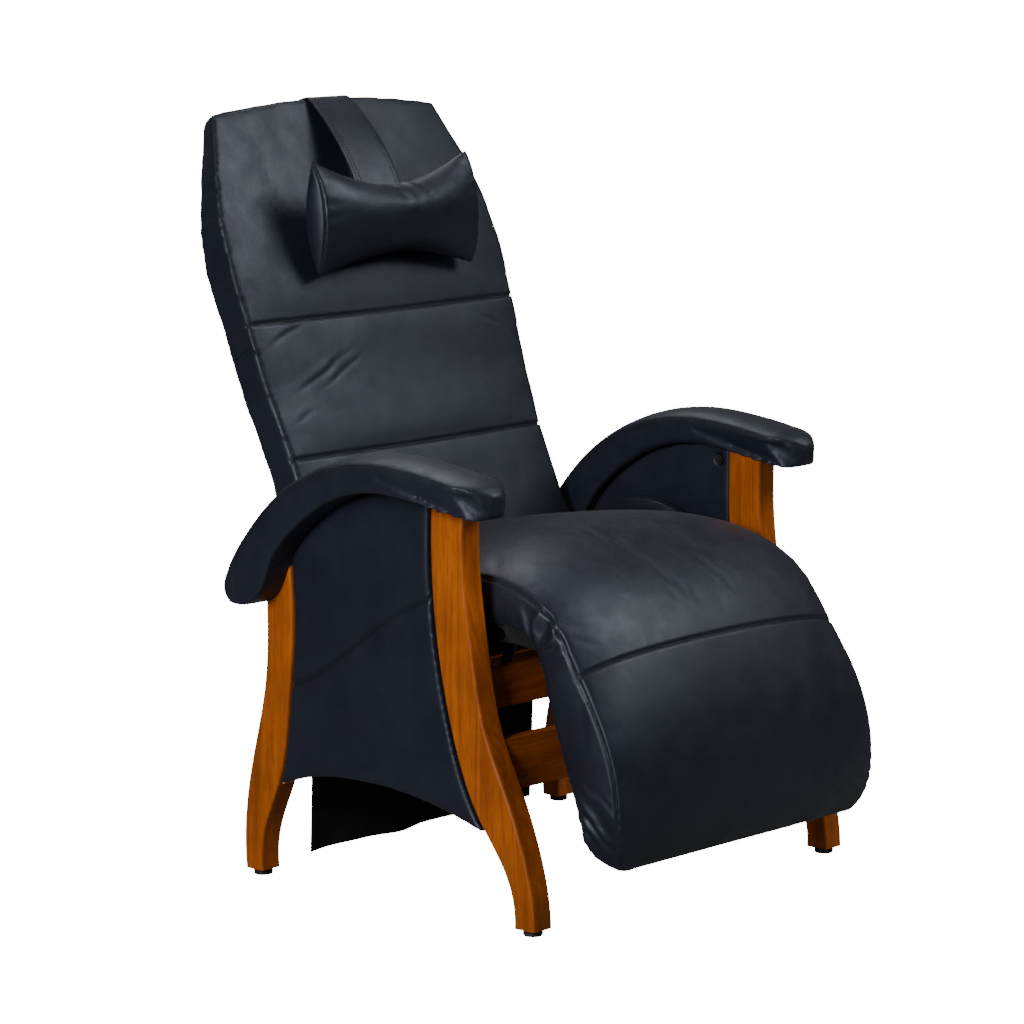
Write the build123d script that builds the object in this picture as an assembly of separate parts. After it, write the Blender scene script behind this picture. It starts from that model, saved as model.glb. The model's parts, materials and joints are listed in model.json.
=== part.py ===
from build123d import *
import math
import os

# Zero gravity recliner: wooden legs, padded arms and side panels, and a seat that
# tilts on two side pivots, with a backrest and a leg rest hinged to it.
# Millimetres. +Z is up, the chair faces -Y, and the sitter's left is +X.
# Outlines are drawn in the side view as (y, z), with y = 0 midway between the feet.

# ---- driving dimensions ----
BOX_SHIFT_Y = -45.0          # puts the origin under the middle of the whole chair
LEG_INNER = 320.0            # half width between the legs
LEG_THICK = 40.0
LEG_EASE = 4.0               # rounding of a leg's long edges
GLIDE_H = 10.0
GLIDE_R = 14.5
STEM_R = 4.0
STEM_L = 20.0
PANEL_GAP = 4.0              # shadow gap between a side panel and the legs
BOARD_T = 15.0               # plywood of the side panels
OUTER_PAD = 10.5
INNER_PAD = 8.0
ARM_W = 100.0
ARM_OVERHANG = 12.0          # how far an arm stands inside the inner face of its leg
ARM_BOARD_T = 16.0
ARM_BOARD_INSET = 11.0
RAIL_T = 22.0
UPPER_RAIL_Y, UPPER_RAIL_Z, UPPER_RAIL_H = -151.0, 337.0, 58.0
LOWER_RAIL_Y, LOWER_RAIL_Z, LOWER_RAIL_H = -196.0, 234.0, 76.0
REAR_RAIL_Y, REAR_RAIL_Z, REAR_RAIL_H = 241.0, 239.0, 66.0
DOWEL_R = 5.0
DOWEL_IN = 25.0              # dowel length in each of the two pieces it joins
SKIRT_W, SKIRT_BOTTOM, SKIRT_TOP, SKIRT_T = 510.0, 20.0, 306.0, 2.0
BATTEN_H, BATTEN_T = 62.0, 5.0   # the batten stands above the rail to carry the skirt's top
SCREW_R = 2.5
SCREW_HEAD_R = 5.0

HUB_Y, HUB_Z = 65.0, 357.0   # tilt axis of the seat
HUB_COVER_R = 171.0
HUB_COVER_T = 18.0
HUB_WALL = 6.0
BRACKET_W, BRACKET_H = 150.0, 116.0
SHAFT_R = 10.0
RUNNING_CLEARANCE = 0.05
BUSH_WALL = 4.0
PIN_R = 6.0
CLIP_T = 2.0
STUD_Y, STUD_Z = 18.0, 345.0         # fixed end of the backrest link
BACK_PIN_Y, BACK_PIN_Z = 200.0, 440.0
LEVER_PIN_Y, LEVER_PIN_Z = 150.0, 400.0
LINK_SLACK = 0.3             # extra radius where the link meets the backrest lever
KNEE_Y, KNEE_Z = -255.0, 412.0

PLATE_T = 6.0                # steel side plates, levers and links
PLATE_OUTER = 286.0          # outer face of a seat side plate
LAYER_GAP = 2.0
LEVER_PITCH = 5.0            # gap from the seat side plate to the backrest lever

SEAT_HALF = 288.0
SEAT_BOARD_Z = 432.0
SEAT_BOARD_T = 15.0
SEAT_BOARD_HALF = 264.0
SEAT_REAR_Y = 178.0
TUBE_R, TUBE_WALL = 12.5, 2.0
FRONT_TUBE_Y, REAR_TUBE_Y = -165.0, 70.0
SHIN_HALF = 296.0
SHIN_LEAN = 19.3             # degrees that the leg rest stands forward of vertical
SHIN_BOARD_T = 12.0
SHIN_BACK = 8.0              # from the back of the leg rest to its board
KNEE_OPENING = 30.0          # degrees left free between seat pad and leg pad

BACK_LEAN = 22.98            # degrees that the backrest leans from vertical
BACK_FACE_Y, BACK_FACE_Z = 256.0, 634.0      # a point on the front of the backrest
BACK_BOTTOM_Z = 462.0
BACK_PAD_T = 44.0
BACK_BOARD_T = 12.0
BACK_COVER_T = 14.0
BACK_BAR_L = 330.0
HEAD_TAPER = 232.0            # length of the thinner head end, from the backrest's crown
COVER_END = 10.0              # step from the head end to the rear cover, and from the cover to the board

LOCK_DROP = 72.0             # height of the tilt axis above the gas lock
LOCK_R, LOCK_L = 11.0, 140.0
ROD_R = 4.0
TILT_RANGE = 32.0            # degrees
BUTTON_Y, BUTTON_Z, BUTTON_R = -72.0, 599.0, 5.0

PILLOW_W, PILLOW_H, PILLOW_T = 350.0, 155.0, 100.0
PILLOW_DROP = 214.0           # from the backrest's crown down to the pillow's middle
STRAP_W, STRAP_T = 90.0, 3.0
STRAP_TUCK = 75.0            # strap hidden behind the pillow and behind the counterweight
WEIGHT_DROP, WEIGHT_H, WEIGHT_T = 134.0, 150.0, 20.0
SOFT_GAP = 0.5

LEG_OUTER = LEG_INNER + LEG_THICK
ARM_X0 = LEG_INNER - ARM_OVERHANG
ARM_X1 = ARM_X0 + ARM_W
BOARD_X1 = LEG_OUTER - OUTER_PAD
BOARD_X0 = BOARD_X1 - BOARD_T
INNER_X0 = BOARD_X0 - INNER_PAD
BRACKET_X0 = LEG_INNER
BRACKET_T = INNER_X0 - BRACKET_X0
HUB_X0 = BRACKET_X0 - HUB_COVER_T
PLATE_INNER = PLATE_OUTER - PLATE_T
LEVER_OUTER = PLATE_INNER - LEVER_PITCH
LEVER_INNER = LEVER_OUTER - PLATE_T
LINK_OUTER = LEVER_INNER - LAYER_GAP
LINK_INNER = LINK_OUTER - PLATE_T
LEG_ARM_OUTER = PLATE_INNER - LAYER_GAP
LEG_ARM_INNER = LEG_ARM_OUTER - PLATE_T

# ---- outlines of the legs and the arm, side view ----
FRONT_LEG_FRONT = [(-296, GLIDE_H), (-276, 116), (-236, 212), (-203, 282), (-175, 403), (-162, 485), (-164, 660)]
FRONT_LEG_BACK = [(-257, GLIDE_H), (-235, 94), (-187, 161), (-142, 260), (-109, 395), (-97, 500), (-100, 660)]
REAR_LEG_FRONT = [(256, GLIDE_H), (247, 87), (218, 156), (198, 269), (188, 377), (191, 480), (208, 600)]
REAR_LEG_BACK = [(291, GLIDE_H), (292, 88), (279, 168), (247, 305), (242, 403), (247, 500), (259, 600)]
ARM_UNDER = [(-209, 604), (-151, 614), (-58, 624), (30, 614), (114, 573), (178, 513), (212, 446)]
ARM_TOP = [(-209, 648), (-102, 665), (-8, 677), (71, 664), (164, 617), (249, 538), (302, 462)]
ARM_TAIL = (280, 434)
PANEL_ARCH = [(237, 141), (123, 175), (39, 180), (-64, 172), (-145, 155), (-215, 133)]


def turned(angle, length):
    """A step of that length at that angle above +Y in the side view."""
    return length * math.cos(math.radians(angle)), length * math.sin(math.radians(angle))


def closed_face(*curves):
    """The side-view face inside curves given end to end."""
    return make_face(Curve() + list(curves))


def across(face, x0, x1):
    """A side-view face made solid from x0 to x1."""
    return extrude(Plane.YZ.offset(x0) * face, amount=x1 - x0)


def rod(y, z, radius, x0, x1):
    """A round bar along X."""
    return across(Pos(y, z) * Circle(radius), x0, x1)


def ring(y, z, inner, outer, x0, x1):
    """A round sleeve along X."""
    return rod(y, z, outer, x0, x1) - rod(y, z, inner, x0, x1)


def block(x0, x1, y0, y1, z0, z1):
    """A box between those limits."""
    return Pos((x0 + x1) / 2, (y0 + y1) / 2, (z0 + z1) / 2) * Box(x1 - x0, y1 - y0, z1 - z0)


def between(front, back):
    """The face between two upright side-view curves, each given from the bottom up."""
    return closed_face(
        Spline(*front),
        Line(front[-1], back[-1]),
        Spline(*back),
        Line(back[0], front[0]),
    )


def shifted(points, dy):
    """A side-view curve moved along Y."""
    return [(y + dy, z) for y, z in points]


def arm_tail():
    """The blunt rear end of the arm."""
    return ThreePointArc(ARM_UNDER[-1], ARM_TAIL, ARM_TOP[-1])


def under_arm(x0, x1):
    """Everything below the arm, for trimming what stands under it."""
    low, rear = 0.0, ARM_TOP[-1][0] + 30
    front = ARM_UNDER[0][0] - 150
    face = closed_face(
        Spline(*ARM_UNDER),
        arm_tail(),
        Polyline(ARM_TOP[-1], (rear, ARM_TOP[-1][1]), (rear, low), (front, low),
                 (front, ARM_UNDER[0][1]), ARM_UNDER[0]),
    )
    return across(face, x0, x1)


def pair(name, solid):
    """The left piece and its mirror image."""
    return {f"{name}_left": solid, f"{name}_right": mirror(solid, about=Plane.YZ)}


def group(pieces):
    """One node holding several separate solids."""
    return Compound([solid for piece in pieces for solid in piece.solids()])


def both_sides(pieces):
    """One node holding pieces and their mirror images."""
    return group(pieces + [mirror(piece, about=Plane.YZ) for piece in pieces])


# ---- wooden frame ----
RAILS = {
    "upper_cross_rail": (UPPER_RAIL_Y, UPPER_RAIL_Z, UPPER_RAIL_H),
    "lower_cross_rail": (LOWER_RAIL_Y, LOWER_RAIL_Z, LOWER_RAIL_H),
    "rear_cross_rail": (REAR_RAIL_Y, REAR_RAIL_Z, REAR_RAIL_H),
}
FEET = [((FRONT_LEG_FRONT[0][0] + FRONT_LEG_BACK[0][0]) / 2), ((REAR_LEG_FRONT[0][0] + REAR_LEG_BACK[0][0]) / 2)]
LEG_MID = LEG_INNER + LEG_THICK / 2


def dowels():
    """Wooden dowels, two at each end of each cross rail, on the left side."""
    pins = []
    for y, z, height in RAILS.values():
        for dz in (-height / 4, height / 4):
            pins.append(rod(y, z + dz, DOWEL_R, LEG_INNER - DOWEL_IN, LEG_INNER + DOWEL_IN))
    return pins


def leg(front, back, foot_y):
    """One shaped leg, eased on its long edges, with holes for its dowels and glide."""
    solid = across(between(front, back), LEG_INNER, LEG_OUTER)
    long_edges = [e for e in solid.edges() if e.length > 2 * LEG_THICK and e.bounding_box().size.X < 1]
    solid = fillet(long_edges, LEG_EASE)
    solid = solid & under_arm(LEG_INNER - 1, LEG_OUTER + 1)
    solid -= Pos(LEG_MID, foot_y, GLIDE_H) * Cylinder(STEM_R, 2 * STEM_L)
    for pin in dowels():
        solid -= pin
    return solid


def foot_glides():
    """Four glides, each a pad and the stem that holds it in its leg."""
    made = []
    for side in (-1, 1):
        for y in FEET:
            pad = Pos(side * LEG_MID, y, GLIDE_H / 2) * Cylinder(GLIDE_R, GLIDE_H)
            pad = chamfer(pad.edges().group_by(Axis.Z)[0], 1.5)
            stem = Pos(side * LEG_MID, y, GLIDE_H + STEM_L / 2) * Cylinder(STEM_R, STEM_L)
            made.append(pad + stem)
    return group(made)


def cross_rail(y, z, height):
    """One board between the legs, drilled for its dowels."""
    solid = block(-LEG_INNER, LEG_INNER, y - RAIL_T / 2, y + RAIL_T / 2, z - height / 2, z + height / 2)
    for pin in dowels():
        solid -= pin
        solid -= mirror(pin, about=Plane.YZ)
    return solid


def panel_layer(gap, x0, x1):
    """One layer of a side panel, held that far from the legs."""
    face = between(shifted(FRONT_LEG_BACK, gap), shifted(REAR_LEG_FRONT, -gap))
    solid = across(face, x0, x1) & under_arm(x0 - 1, x1 + 1)
    lowest = 0.0
    arch = closed_face(
        Spline(*PANEL_ARCH),
        Polyline(PANEL_ARCH[-1], (-400, PANEL_ARCH[-1][1]), (-400, lowest), (400, lowest),
                 (400, PANEL_ARCH[0][1]), PANEL_ARCH[0]),
    )
    return solid - across(arch, x0 - 1, x1 + 1)


BOLT_OFFSETS = [(dy, dz) for dy in (-55, 55) for dz in (-40, 40)]


def bracket_bolts():
    """Four bolts through each pivot bracket into the side panel."""
    made = []
    for dy, dz in BOLT_OFFSETS:
        y, z = HUB_Y + dy, HUB_Z + dz
        made.append(rod(y, z, SCREW_R * 1.6, BRACKET_X0, BOARD_X1 - 2))
        made[-1] += rod(y, z, SCREW_R * 3, BRACKET_X0 - 4, BRACKET_X0)
    return made


def side_panel():
    """Board, outer pad and inner pad of the left side panel."""
    board = panel_layer(0, BOARD_X0, BOARD_X1)
    outer = panel_layer(PANEL_GAP, BOARD_X1, LEG_OUTER)
    inner = panel_layer(PANEL_GAP, INNER_X0, BOARD_X0)
    for bolt in bracket_bolts():
        board -= bolt
        inner -= bolt
    return board, outer, inner


def arm_board():
    """The bent board along the underside of the arm."""
    x0, x1 = ARM_X0 + ARM_BOARD_INSET, ARM_X1 - ARM_BOARD_INSET
    under = Spline(*ARM_UNDER)
    top = []
    for step in range(len(ARM_UNDER)):
        place = step / (len(ARM_UNDER) - 1)
        point, way = under @ place, under % place
        top.append((point.X - ARM_BOARD_T * way.Y, point.Y + ARM_BOARD_T * way.X))
    face = closed_face(under, Line(ARM_UNDER[-1], top[-1]), Spline(*top), Line(top[0], ARM_UNDER[0]))
    ends = block(x0, x1, ARM_UNDER[0][0] + ARM_BOARD_T, ARM_UNDER[-1][0] - ARM_BOARD_T, 0, 900)
    return across(face, x0, x1) & ends


def arm_pad():
    """The padded arm, rounded over its top and its nose."""
    nose = Polyline(ARM_TOP[0], (-228, 630), (-228, 612), ARM_UNDER[0])
    face = closed_face(Spline(*ARM_UNDER), arm_tail(), Spline(*ARM_TOP), nose)
    solid = across(face, ARM_X0, ARM_X1)
    top_edges = [e for e in solid.edges() if e.center().Z > 600 and e.length > 400
                 and e.bounding_box().max.Z > 650]
    return fillet(top_edges, 12.0)


# ---- rear skirt ----
def rear_skirt():
    """A hanging fabric sheet on the back of the rear rail."""
    y = REAR_RAIL_Y + RAIL_T / 2
    return block(-SKIRT_W / 2, SKIRT_W / 2, y, y + SKIRT_T, SKIRT_BOTTOM, SKIRT_TOP)


def batten_screws():
    """Screws that hold the batten and the skirt to the rear rail."""
    y = REAR_RAIL_Y + RAIL_T / 2
    z = (SKIRT_TOP - BATTEN_H + REAR_RAIL_Z + REAR_RAIL_H / 2) / 2
    made = []
    for x in (-225, -112.5, 0, 112.5, 225):
        shank = Pos(x, y + (SKIRT_T + BATTEN_T) / 2 - 5, z) * Rot(90, 0, 0) * Cylinder(SCREW_R, 10 + SKIRT_T + BATTEN_T)
        head = Pos(x, y + SKIRT_T + BATTEN_T + 1, z) * Rot(90, 0, 0) * Cylinder(SCREW_HEAD_R, 2)
        made.append(shank + head)
    return made


def skirt_batten():
    """The strip that clamps the top of the skirt."""
    y = REAR_RAIL_Y + RAIL_T / 2 + SKIRT_T
    return block(-SKIRT_W / 2, SKIRT_W / 2, y, y + BATTEN_T, SKIRT_TOP - BATTEN_H, SKIRT_TOP)


# ---- tilt pivots ----
SHAFT_END = PLATE_INNER - 3.0 - CLIP_T - 1


def pivot_bracket():
    """Steel plate with the tilt shaft and the fixed stud of the backrest link."""
    plate = Pos(BRACKET_X0 + BRACKET_T / 2, HUB_Y, HUB_Z) * Box(BRACKET_T, BRACKET_W, BRACKET_H)
    plate = fillet(plate.edges().filter_by(Axis.X), 12)
    for bolt in bracket_bolts():
        plate -= bolt
    plate += rod(HUB_Y, HUB_Z, SHAFT_R, SHAFT_END, BRACKET_X0)
    plate += rod(STUD_Y, STUD_Z, PIN_R, LINK_INNER - CLIP_T - 1.5, BRACKET_X0)
    return plate


def hub_cover():
    """Round padded cover over the pivot bracket, a shallow cup on three posts."""
    cup = rod(HUB_Y, HUB_Z, HUB_COVER_R, HUB_X0, BRACKET_X0)
    cup = fillet(cup.edges().group_by(Axis.X)[0], 5)
    cup -= rod(HUB_Y, HUB_Z, HUB_COVER_R - HUB_WALL, HUB_X0 + HUB_WALL, BRACKET_X0 + 1)
    for angle in (35, 145, 270):
        dy, dz = turned(angle, 46)
        cup += rod(HUB_Y + dy, HUB_Z + dz, 6, HUB_X0 + HUB_WALL - 1, BRACKET_X0)
    cup -= rod(HUB_Y, HUB_Z, SHAFT_R + 2, HUB_X0 - 1, BRACKET_X0 + 1)
    return cup - rod(STUD_Y, STUD_Z, PIN_R + 2, HUB_X0 - 1, BRACKET_X0 + 1)


# ---- seat ----
def plate_arm(points, radius, x0, x1):
    """A flat bar with round ends that runs through side-view points."""
    face = None
    for (y0, z0), (y1, z1) in zip(points, points[1:]):
        length = math.hypot(y1 - y0, z1 - z0)
        angle = math.degrees(math.atan2(z1 - z0, y1 - y0))
        bar = Pos((y0 + y1) / 2, (z0 + z1) / 2) * Rot(0, 0, angle) * SlotCenterToCenter(length, 2 * radius)
        face = bar if face is None else face + bar
    return across(face, x0, x1)


HUB = (HUB_Y, HUB_Z)
STUD = (STUD_Y, STUD_Z)
BACK_PIN = (BACK_PIN_Y, BACK_PIN_Z)
LEVER_PIN = (LEVER_PIN_Y, LEVER_PIN_Z)
KNEE = (KNEE_Y, KNEE_Z)
TUBE_Z = SEAT_BOARD_Z - TUBE_R


def seat_side_plate():
    """Steel plate that carries the seat, with eyes for the three pivots."""
    x0, x1 = PLATE_INNER, PLATE_OUTER
    plate = plate_arm([KNEE, (KNEE_Y + 60, TUBE_Z), (BACK_PIN_Y - 60, TUBE_Z), BACK_PIN], TUBE_R, x0, x1)
    plate += plate_arm([(HUB_Y, TUBE_Z), HUB], 28, x0, x1)
    plate = plate - block(x0 - 1, x1 + 1, KNEE_Y + 25, SEAT_REAR_Y, SEAT_BOARD_Z, SEAT_BOARD_Z + 50)
    flange = block(SEAT_BOARD_HALF - 24, x0 + 1, KNEE_Y + 70, LEVER_PIN_Y - 30, SEAT_BOARD_Z - 3, SEAT_BOARD_Z)
    plate += flange
    plate -= rod(*HUB, SHAFT_R + BUSH_WALL, x0 - 1, x1 + 1)
    for y, z in (BACK_PIN, KNEE):
        plate -= rod(y, z, PIN_R, x0 - 1, x1 + 1)
    for y in (FRONT_TUBE_Y, REAR_TUBE_Y):
        plate -= rod(y, TUBE_Z - 3, TUBE_R - 1, x0 - 1, x1 + 1)
    return plate


def seat_tube(y):
    """Round steel tube between the two side plates, shouldered into them."""
    z = TUBE_Z - 3
    solid = rod(y, z, TUBE_R - 1, -PLATE_OUTER, PLATE_OUTER)
    return solid - rod(y, z, TUBE_R - 1 - TUBE_WALL, -PLATE_OUTER - 1, PLATE_OUTER + 1)


def seat_board():
    """Plywood under the seat cushion."""
    board = block(-SEAT_BOARD_HALF, SEAT_BOARD_HALF, KNEE_Y + 25, SEAT_REAR_Y - 6,
                  SEAT_BOARD_Z, SEAT_BOARD_Z + SEAT_BOARD_T)
    return fillet(board.edges().filter_by(Axis.Z), 20)


# Side view of the crown of the seat and leg cushions, from the seat's rear to the leg rest's foot.
SEAT_CROWN = [(193, 498), (130, 514), (40, 532), (-60, 545), (-140, 546), (-205, 531), (-262, 498), (-318, 440),
              (-366, 366), (-398, 290), (-410, 215), (-408, 160), (-398, 124)]


def crown_face(floor_points):
    """The face between the crown of the cushions and a line under it."""
    return closed_face(Spline(*SEAT_CROWN), Polyline(SEAT_CROWN[-1], *floor_points, SEAT_CROWN[0]))


def shin_point(down, depth):
    """A side-view point that far down the leg rest and that far in front of its back."""
    lean = math.radians(SHIN_LEAN)
    along = (-math.sin(lean), -math.cos(lean))
    out = (-math.cos(lean), math.sin(lean))
    base = (KNEE_Y - 12 * out[0], KNEE_Z - 12 * out[1])
    return base[0] + down * along[0] + depth * out[0], base[1] + down * along[1] + depth * out[1]


SHIN_LENGTH = 300.0
SEAT_END_ANGLE = 128.0


def knee_wedge(angle, toward, x):
    """The half plane on one side of a line from the knee pivot, made solid."""
    near = turned(angle, 400)
    side = turned(toward, 400)
    face = closed_face(Polyline(KNEE, (KNEE_Y + near[0], KNEE_Z + near[1]),
                                (KNEE_Y + near[0] + side[0], KNEE_Z + near[1] + side[1]),
                                (KNEE_Y + side[0], KNEE_Z + side[1]), KNEE))
    return across(face, -x, x)


def seat_cushion():
    """Seat pad, crowned from side to side, ending in a plane through the knee pivot."""
    bottom = SEAT_BOARD_Z + SEAT_BOARD_T
    face = crown_face([(-330, 200), (KNEE_Y, bottom), (SEAT_REAR_Y, bottom)])
    solid = across(face, -SEAT_HALF, SEAT_HALF)
    solid &= knee_wedge(SEAT_END_ANGLE, 0, SEAT_HALF + 1) + block(-400, 400, KNEE_Y, 400, 300, 700)
    solid -= rod(*KNEE, 22, -SEAT_HALF - 1, SEAT_HALF + 1)
    return solid


def leg_cushion():
    """Leg pad, from the knee down to its rounded foot."""
    start = SEAT_END_ANGLE + KNEE_OPENING
    face = crown_face([shin_point(SHIN_LENGTH + 10, SHIN_BACK + SHIN_BOARD_T), shin_point(20, SHIN_BACK + SHIN_BOARD_T),
                       (100, 460)])
    solid = across(face, -SHIN_HALF, SHIN_HALF)
    solid &= knee_wedge(start, 270 - SHIN_LEAN, SHIN_HALF + 1)
    solid -= rod(*KNEE, 22, -SHIN_HALF - 1, SHIN_HALF + 1)
    return solid


def shin_slab(depth0, depth1, down0, down1, half):
    """A flat slab of the leg rest between two depths and two stations down it."""
    face = closed_face(Polyline(shin_point(down0, depth0), shin_point(down1, depth0), shin_point(down1, depth1),
                                shin_point(down0, depth1), shin_point(down0, depth0)))
    return across(face, -half, half)


def leg_arm():
    """Steel arm of the leg rest, with its eye on the knee pin."""
    arm = plate_arm([KNEE, shin_point(30, 11), shin_point(150, 11)], 8.5, LEG_ARM_INNER, LEG_ARM_OUTER)
    return arm - rod(*KNEE, PIN_R + RUNNING_CLEARANCE, LEG_ARM_INNER - 1, LEG_ARM_OUTER + 1)


# ---- backrest ----
LEAN = math.radians(BACK_LEAN)
BACK_UP = (math.sin(LEAN), math.cos(LEAN))
BACK_OUT = (-math.cos(LEAN), math.sin(LEAN))


def back_point(up, depth):
    """A side-view point that far up the backrest's face and that far behind it."""
    rise = (BACK_BOTTOM_Z - BACK_FACE_Z) / BACK_UP[1] + up
    return (BACK_FACE_Y + rise * BACK_UP[0] - depth * BACK_OUT[0],
            BACK_FACE_Z + rise * BACK_UP[1] - depth * BACK_OUT[1])


BACK_LENGTH = 738.0
BACK_CROWN = 14.0
# stations up the backrest, as shares of its length, with its half width at each
BACK_HALF = [(0, 284), (0.2507, 275), (0.542, 290), (0.6436, 295), (0.7588, 291), (0.8672, 268), (0.9824, 240)]


def back_outline():
    """The backrest's outline seen square on, as a plane face."""
    half = [(w, u * BACK_LENGTH) for u, w in BACK_HALF]
    top = ThreePointArc(half[-1], (0, BACK_LENGTH + BACK_CROWN), (-half[-1][0], half[-1][1]))
    right = Spline(*half)
    left = Spline(*[(-w, u) for w, u in half])
    return make_face(Curve() + [right, top, left, Line((-half[0][0], 0), half[0])])


def back_layer(depth0, depth1):
    """The backrest's outline made solid between two depths behind its face."""
    y, z = back_point(0, depth0)
    plane = Plane(origin=(0, y, z), x_dir=(1, 0, 0), z_dir=(0, *BACK_OUT))
    return extrude(plane * back_outline(), amount=depth0 - depth1)


def back_slab(points, half):
    """A solid of the backrest from side-view (up, depth) points."""
    corners = [back_point(*p) for p in points]
    return across(closed_face(Polyline(*corners, corners[0])), -half, half)


def back_cushion():
    """The backrest's front pad, thinner towards its top."""
    solid = back_layer(0, BACK_PAD_T)
    far = CROWN_UP + 40
    taper = back_slab([(TAPER_UP, BACK_PAD_T), (far, rear_depth(far)), (far, 2 * BACK_PAD_T),
                       (TAPER_UP, 2 * BACK_PAD_T)], 400)
    return solid - taper


def back_cover():
    """The upholstered cover behind the backrest board, up to the thinner head end."""
    solid = back_layer(BACK_PAD_T + BACK_BOARD_T, BACK_PAD_T + BACK_BOARD_T + BACK_COVER_T)
    top = TAPER_UP - COVER_END
    return solid & back_slab([(0, 0), (0, 120), (top, 120), (top, 0)], 400)


def back_board():
    """Plywood between the two side bars."""
    top = TAPER_UP - 2 * COVER_END
    return back_slab([(20, BACK_PAD_T), (top, BACK_PAD_T), (top, BACK_PAD_T + BACK_BOARD_T),
                      (20, BACK_PAD_T + BACK_BOARD_T)], LEVER_INNER)


def back_lever():
    """Side bar of the backrest, with the eye of its hinge and the pin hole of its link."""
    depth = BACK_PAD_T + BACK_BOARD_T / 2
    radius = 11.0
    bar = plate_arm([LEVER_PIN, BACK_PIN], radius, LEVER_INNER, LEVER_OUTER)
    bar += plate_arm([BACK_PIN, back_point(-8, depth), back_point(40, depth)], radius, LEVER_INNER, LEVER_OUTER)
    upper = back_slab([(20, BACK_PAD_T), (BACK_BAR_L, BACK_PAD_T), (BACK_BAR_L, BACK_PAD_T + BACK_BOARD_T),
                       (20, BACK_PAD_T + BACK_BOARD_T)], LEVER_OUTER)
    upper &= block(LEVER_INNER, LEVER_OUTER, 0, 800, 300, 1200)
    bar += upper
    pad = back_layer(-20, BACK_PAD_T)
    cover = back_layer(BACK_PAD_T + BACK_BOARD_T, BACK_PAD_T + BACK_BOARD_T + BACK_COVER_T)
    bar = bar - pad - cover
    bar -= rod(*BACK_PIN, PIN_R + RUNNING_CLEARANCE, LEVER_INNER - 1, LEVER_OUTER + 1)
    return bar - rod(*LEVER_PIN, PIN_R, LEVER_INNER - 1, LEVER_OUTER + 1)


def back_link():
    """Tie between the fixed stud and the backrest lever."""
    link = plate_arm([STUD, LEVER_PIN], 10, LINK_INNER, LINK_OUTER)
    link -= rod(*STUD, PIN_R + RUNNING_CLEARANCE, LINK_INNER - 1, LINK_OUTER + 1)
    return link - rod(*LEVER_PIN, PIN_R + LINK_SLACK, LINK_INNER - 1, LINK_OUTER + 1)


def hinge_pin(point, x0, x1):
    """A plain hinge pin along X."""
    return rod(*point, PIN_R, x0, x1)


# ---- gas lock ----
HALF_SWING = math.radians(TILT_RANGE / 2)
LOCK_Z = HUB_Z - LOCK_DROP
LOCK_PIN_Y = HUB_Y + LOCK_DROP * math.tan(HALF_SWING)
LOCK_Y0 = LOWER_RAIL_Y + 22
LOCK_SLOT_CLEARANCE = 0.5
FORK_GAP = 1.0
LOCK_PIN_R = 5.0


def along_y(x, z, radius, y0, y1):
    """A round bar along Y."""
    return Pos(x, (y0 + y1) / 2, z) * Rot(90, 0, 0) * Cylinder(radius, y1 - y0)


def lock_bracket():
    """Folded steel cradle that holds the cylinder on top of the lower rail."""
    rail_top = LOWER_RAIL_Z + LOWER_RAIL_H / 2
    foot = block(-30, 30, LOWER_RAIL_Y - RAIL_T / 2, LOWER_RAIL_Y + RAIL_T / 2 + 4, rail_top, rail_top + 4)
    drop = block(-30, 30, LOWER_RAIL_Y + RAIL_T / 2, LOWER_RAIL_Y + RAIL_T / 2 + 4, rail_top - 40, rail_top + 4)
    collar = along_y(0, LOCK_Z, LOCK_R + 4, LOCK_Y0 - 10, LOCK_Y0 + 20)
    tongue = block(-10, 10, LOWER_RAIL_Y, LOCK_Y0 + 20, rail_top, LOCK_Z - LOCK_R + 1)
    solid = foot + drop + collar + tongue
    return solid - along_y(0, LOCK_Z, LOCK_R, LOCK_Y0, LOCK_Y0 + 30)


def lock_cylinder():
    """Body of the gas lock, bored for its rod."""
    body = along_y(0, LOCK_Z, LOCK_R, LOCK_Y0, LOCK_Y0 + LOCK_L)
    return body - along_y(0, LOCK_Z, ROD_R + RUNNING_CLEARANCE, LOCK_Y0 + 10, LOCK_Y0 + LOCK_L + 1)


def lock_rod():
    """Rod of the gas lock, with the fork and the cross pin that work the seat's lever."""
    inside = 62.0
    rod_y0 = LOCK_Y0 + LOCK_L - inside
    rod_y1 = LOCK_PIN_Y - 22
    stem = along_y(0, LOCK_Z, ROD_R, rod_y0, rod_y1 + 1)
    fork = block(-9, 9, rod_y1, LOCK_PIN_Y + 9, LOCK_Z - 8, LOCK_Z + 8)
    fork -= block(-PLATE_T / 2 - FORK_GAP, PLATE_T / 2 + FORK_GAP, rod_y1 + 7, LOCK_PIN_Y + 10,
                  LOCK_Z - 9, LOCK_Z + 9)
    fork -= rod(LOCK_PIN_Y, LOCK_Z, LOCK_PIN_R, -10, 10)
    return stem + fork


def lock_pin():
    """Cross pin held in the fork."""
    return rod(LOCK_PIN_Y, LOCK_Z, LOCK_PIN_R, -9, 9)


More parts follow.
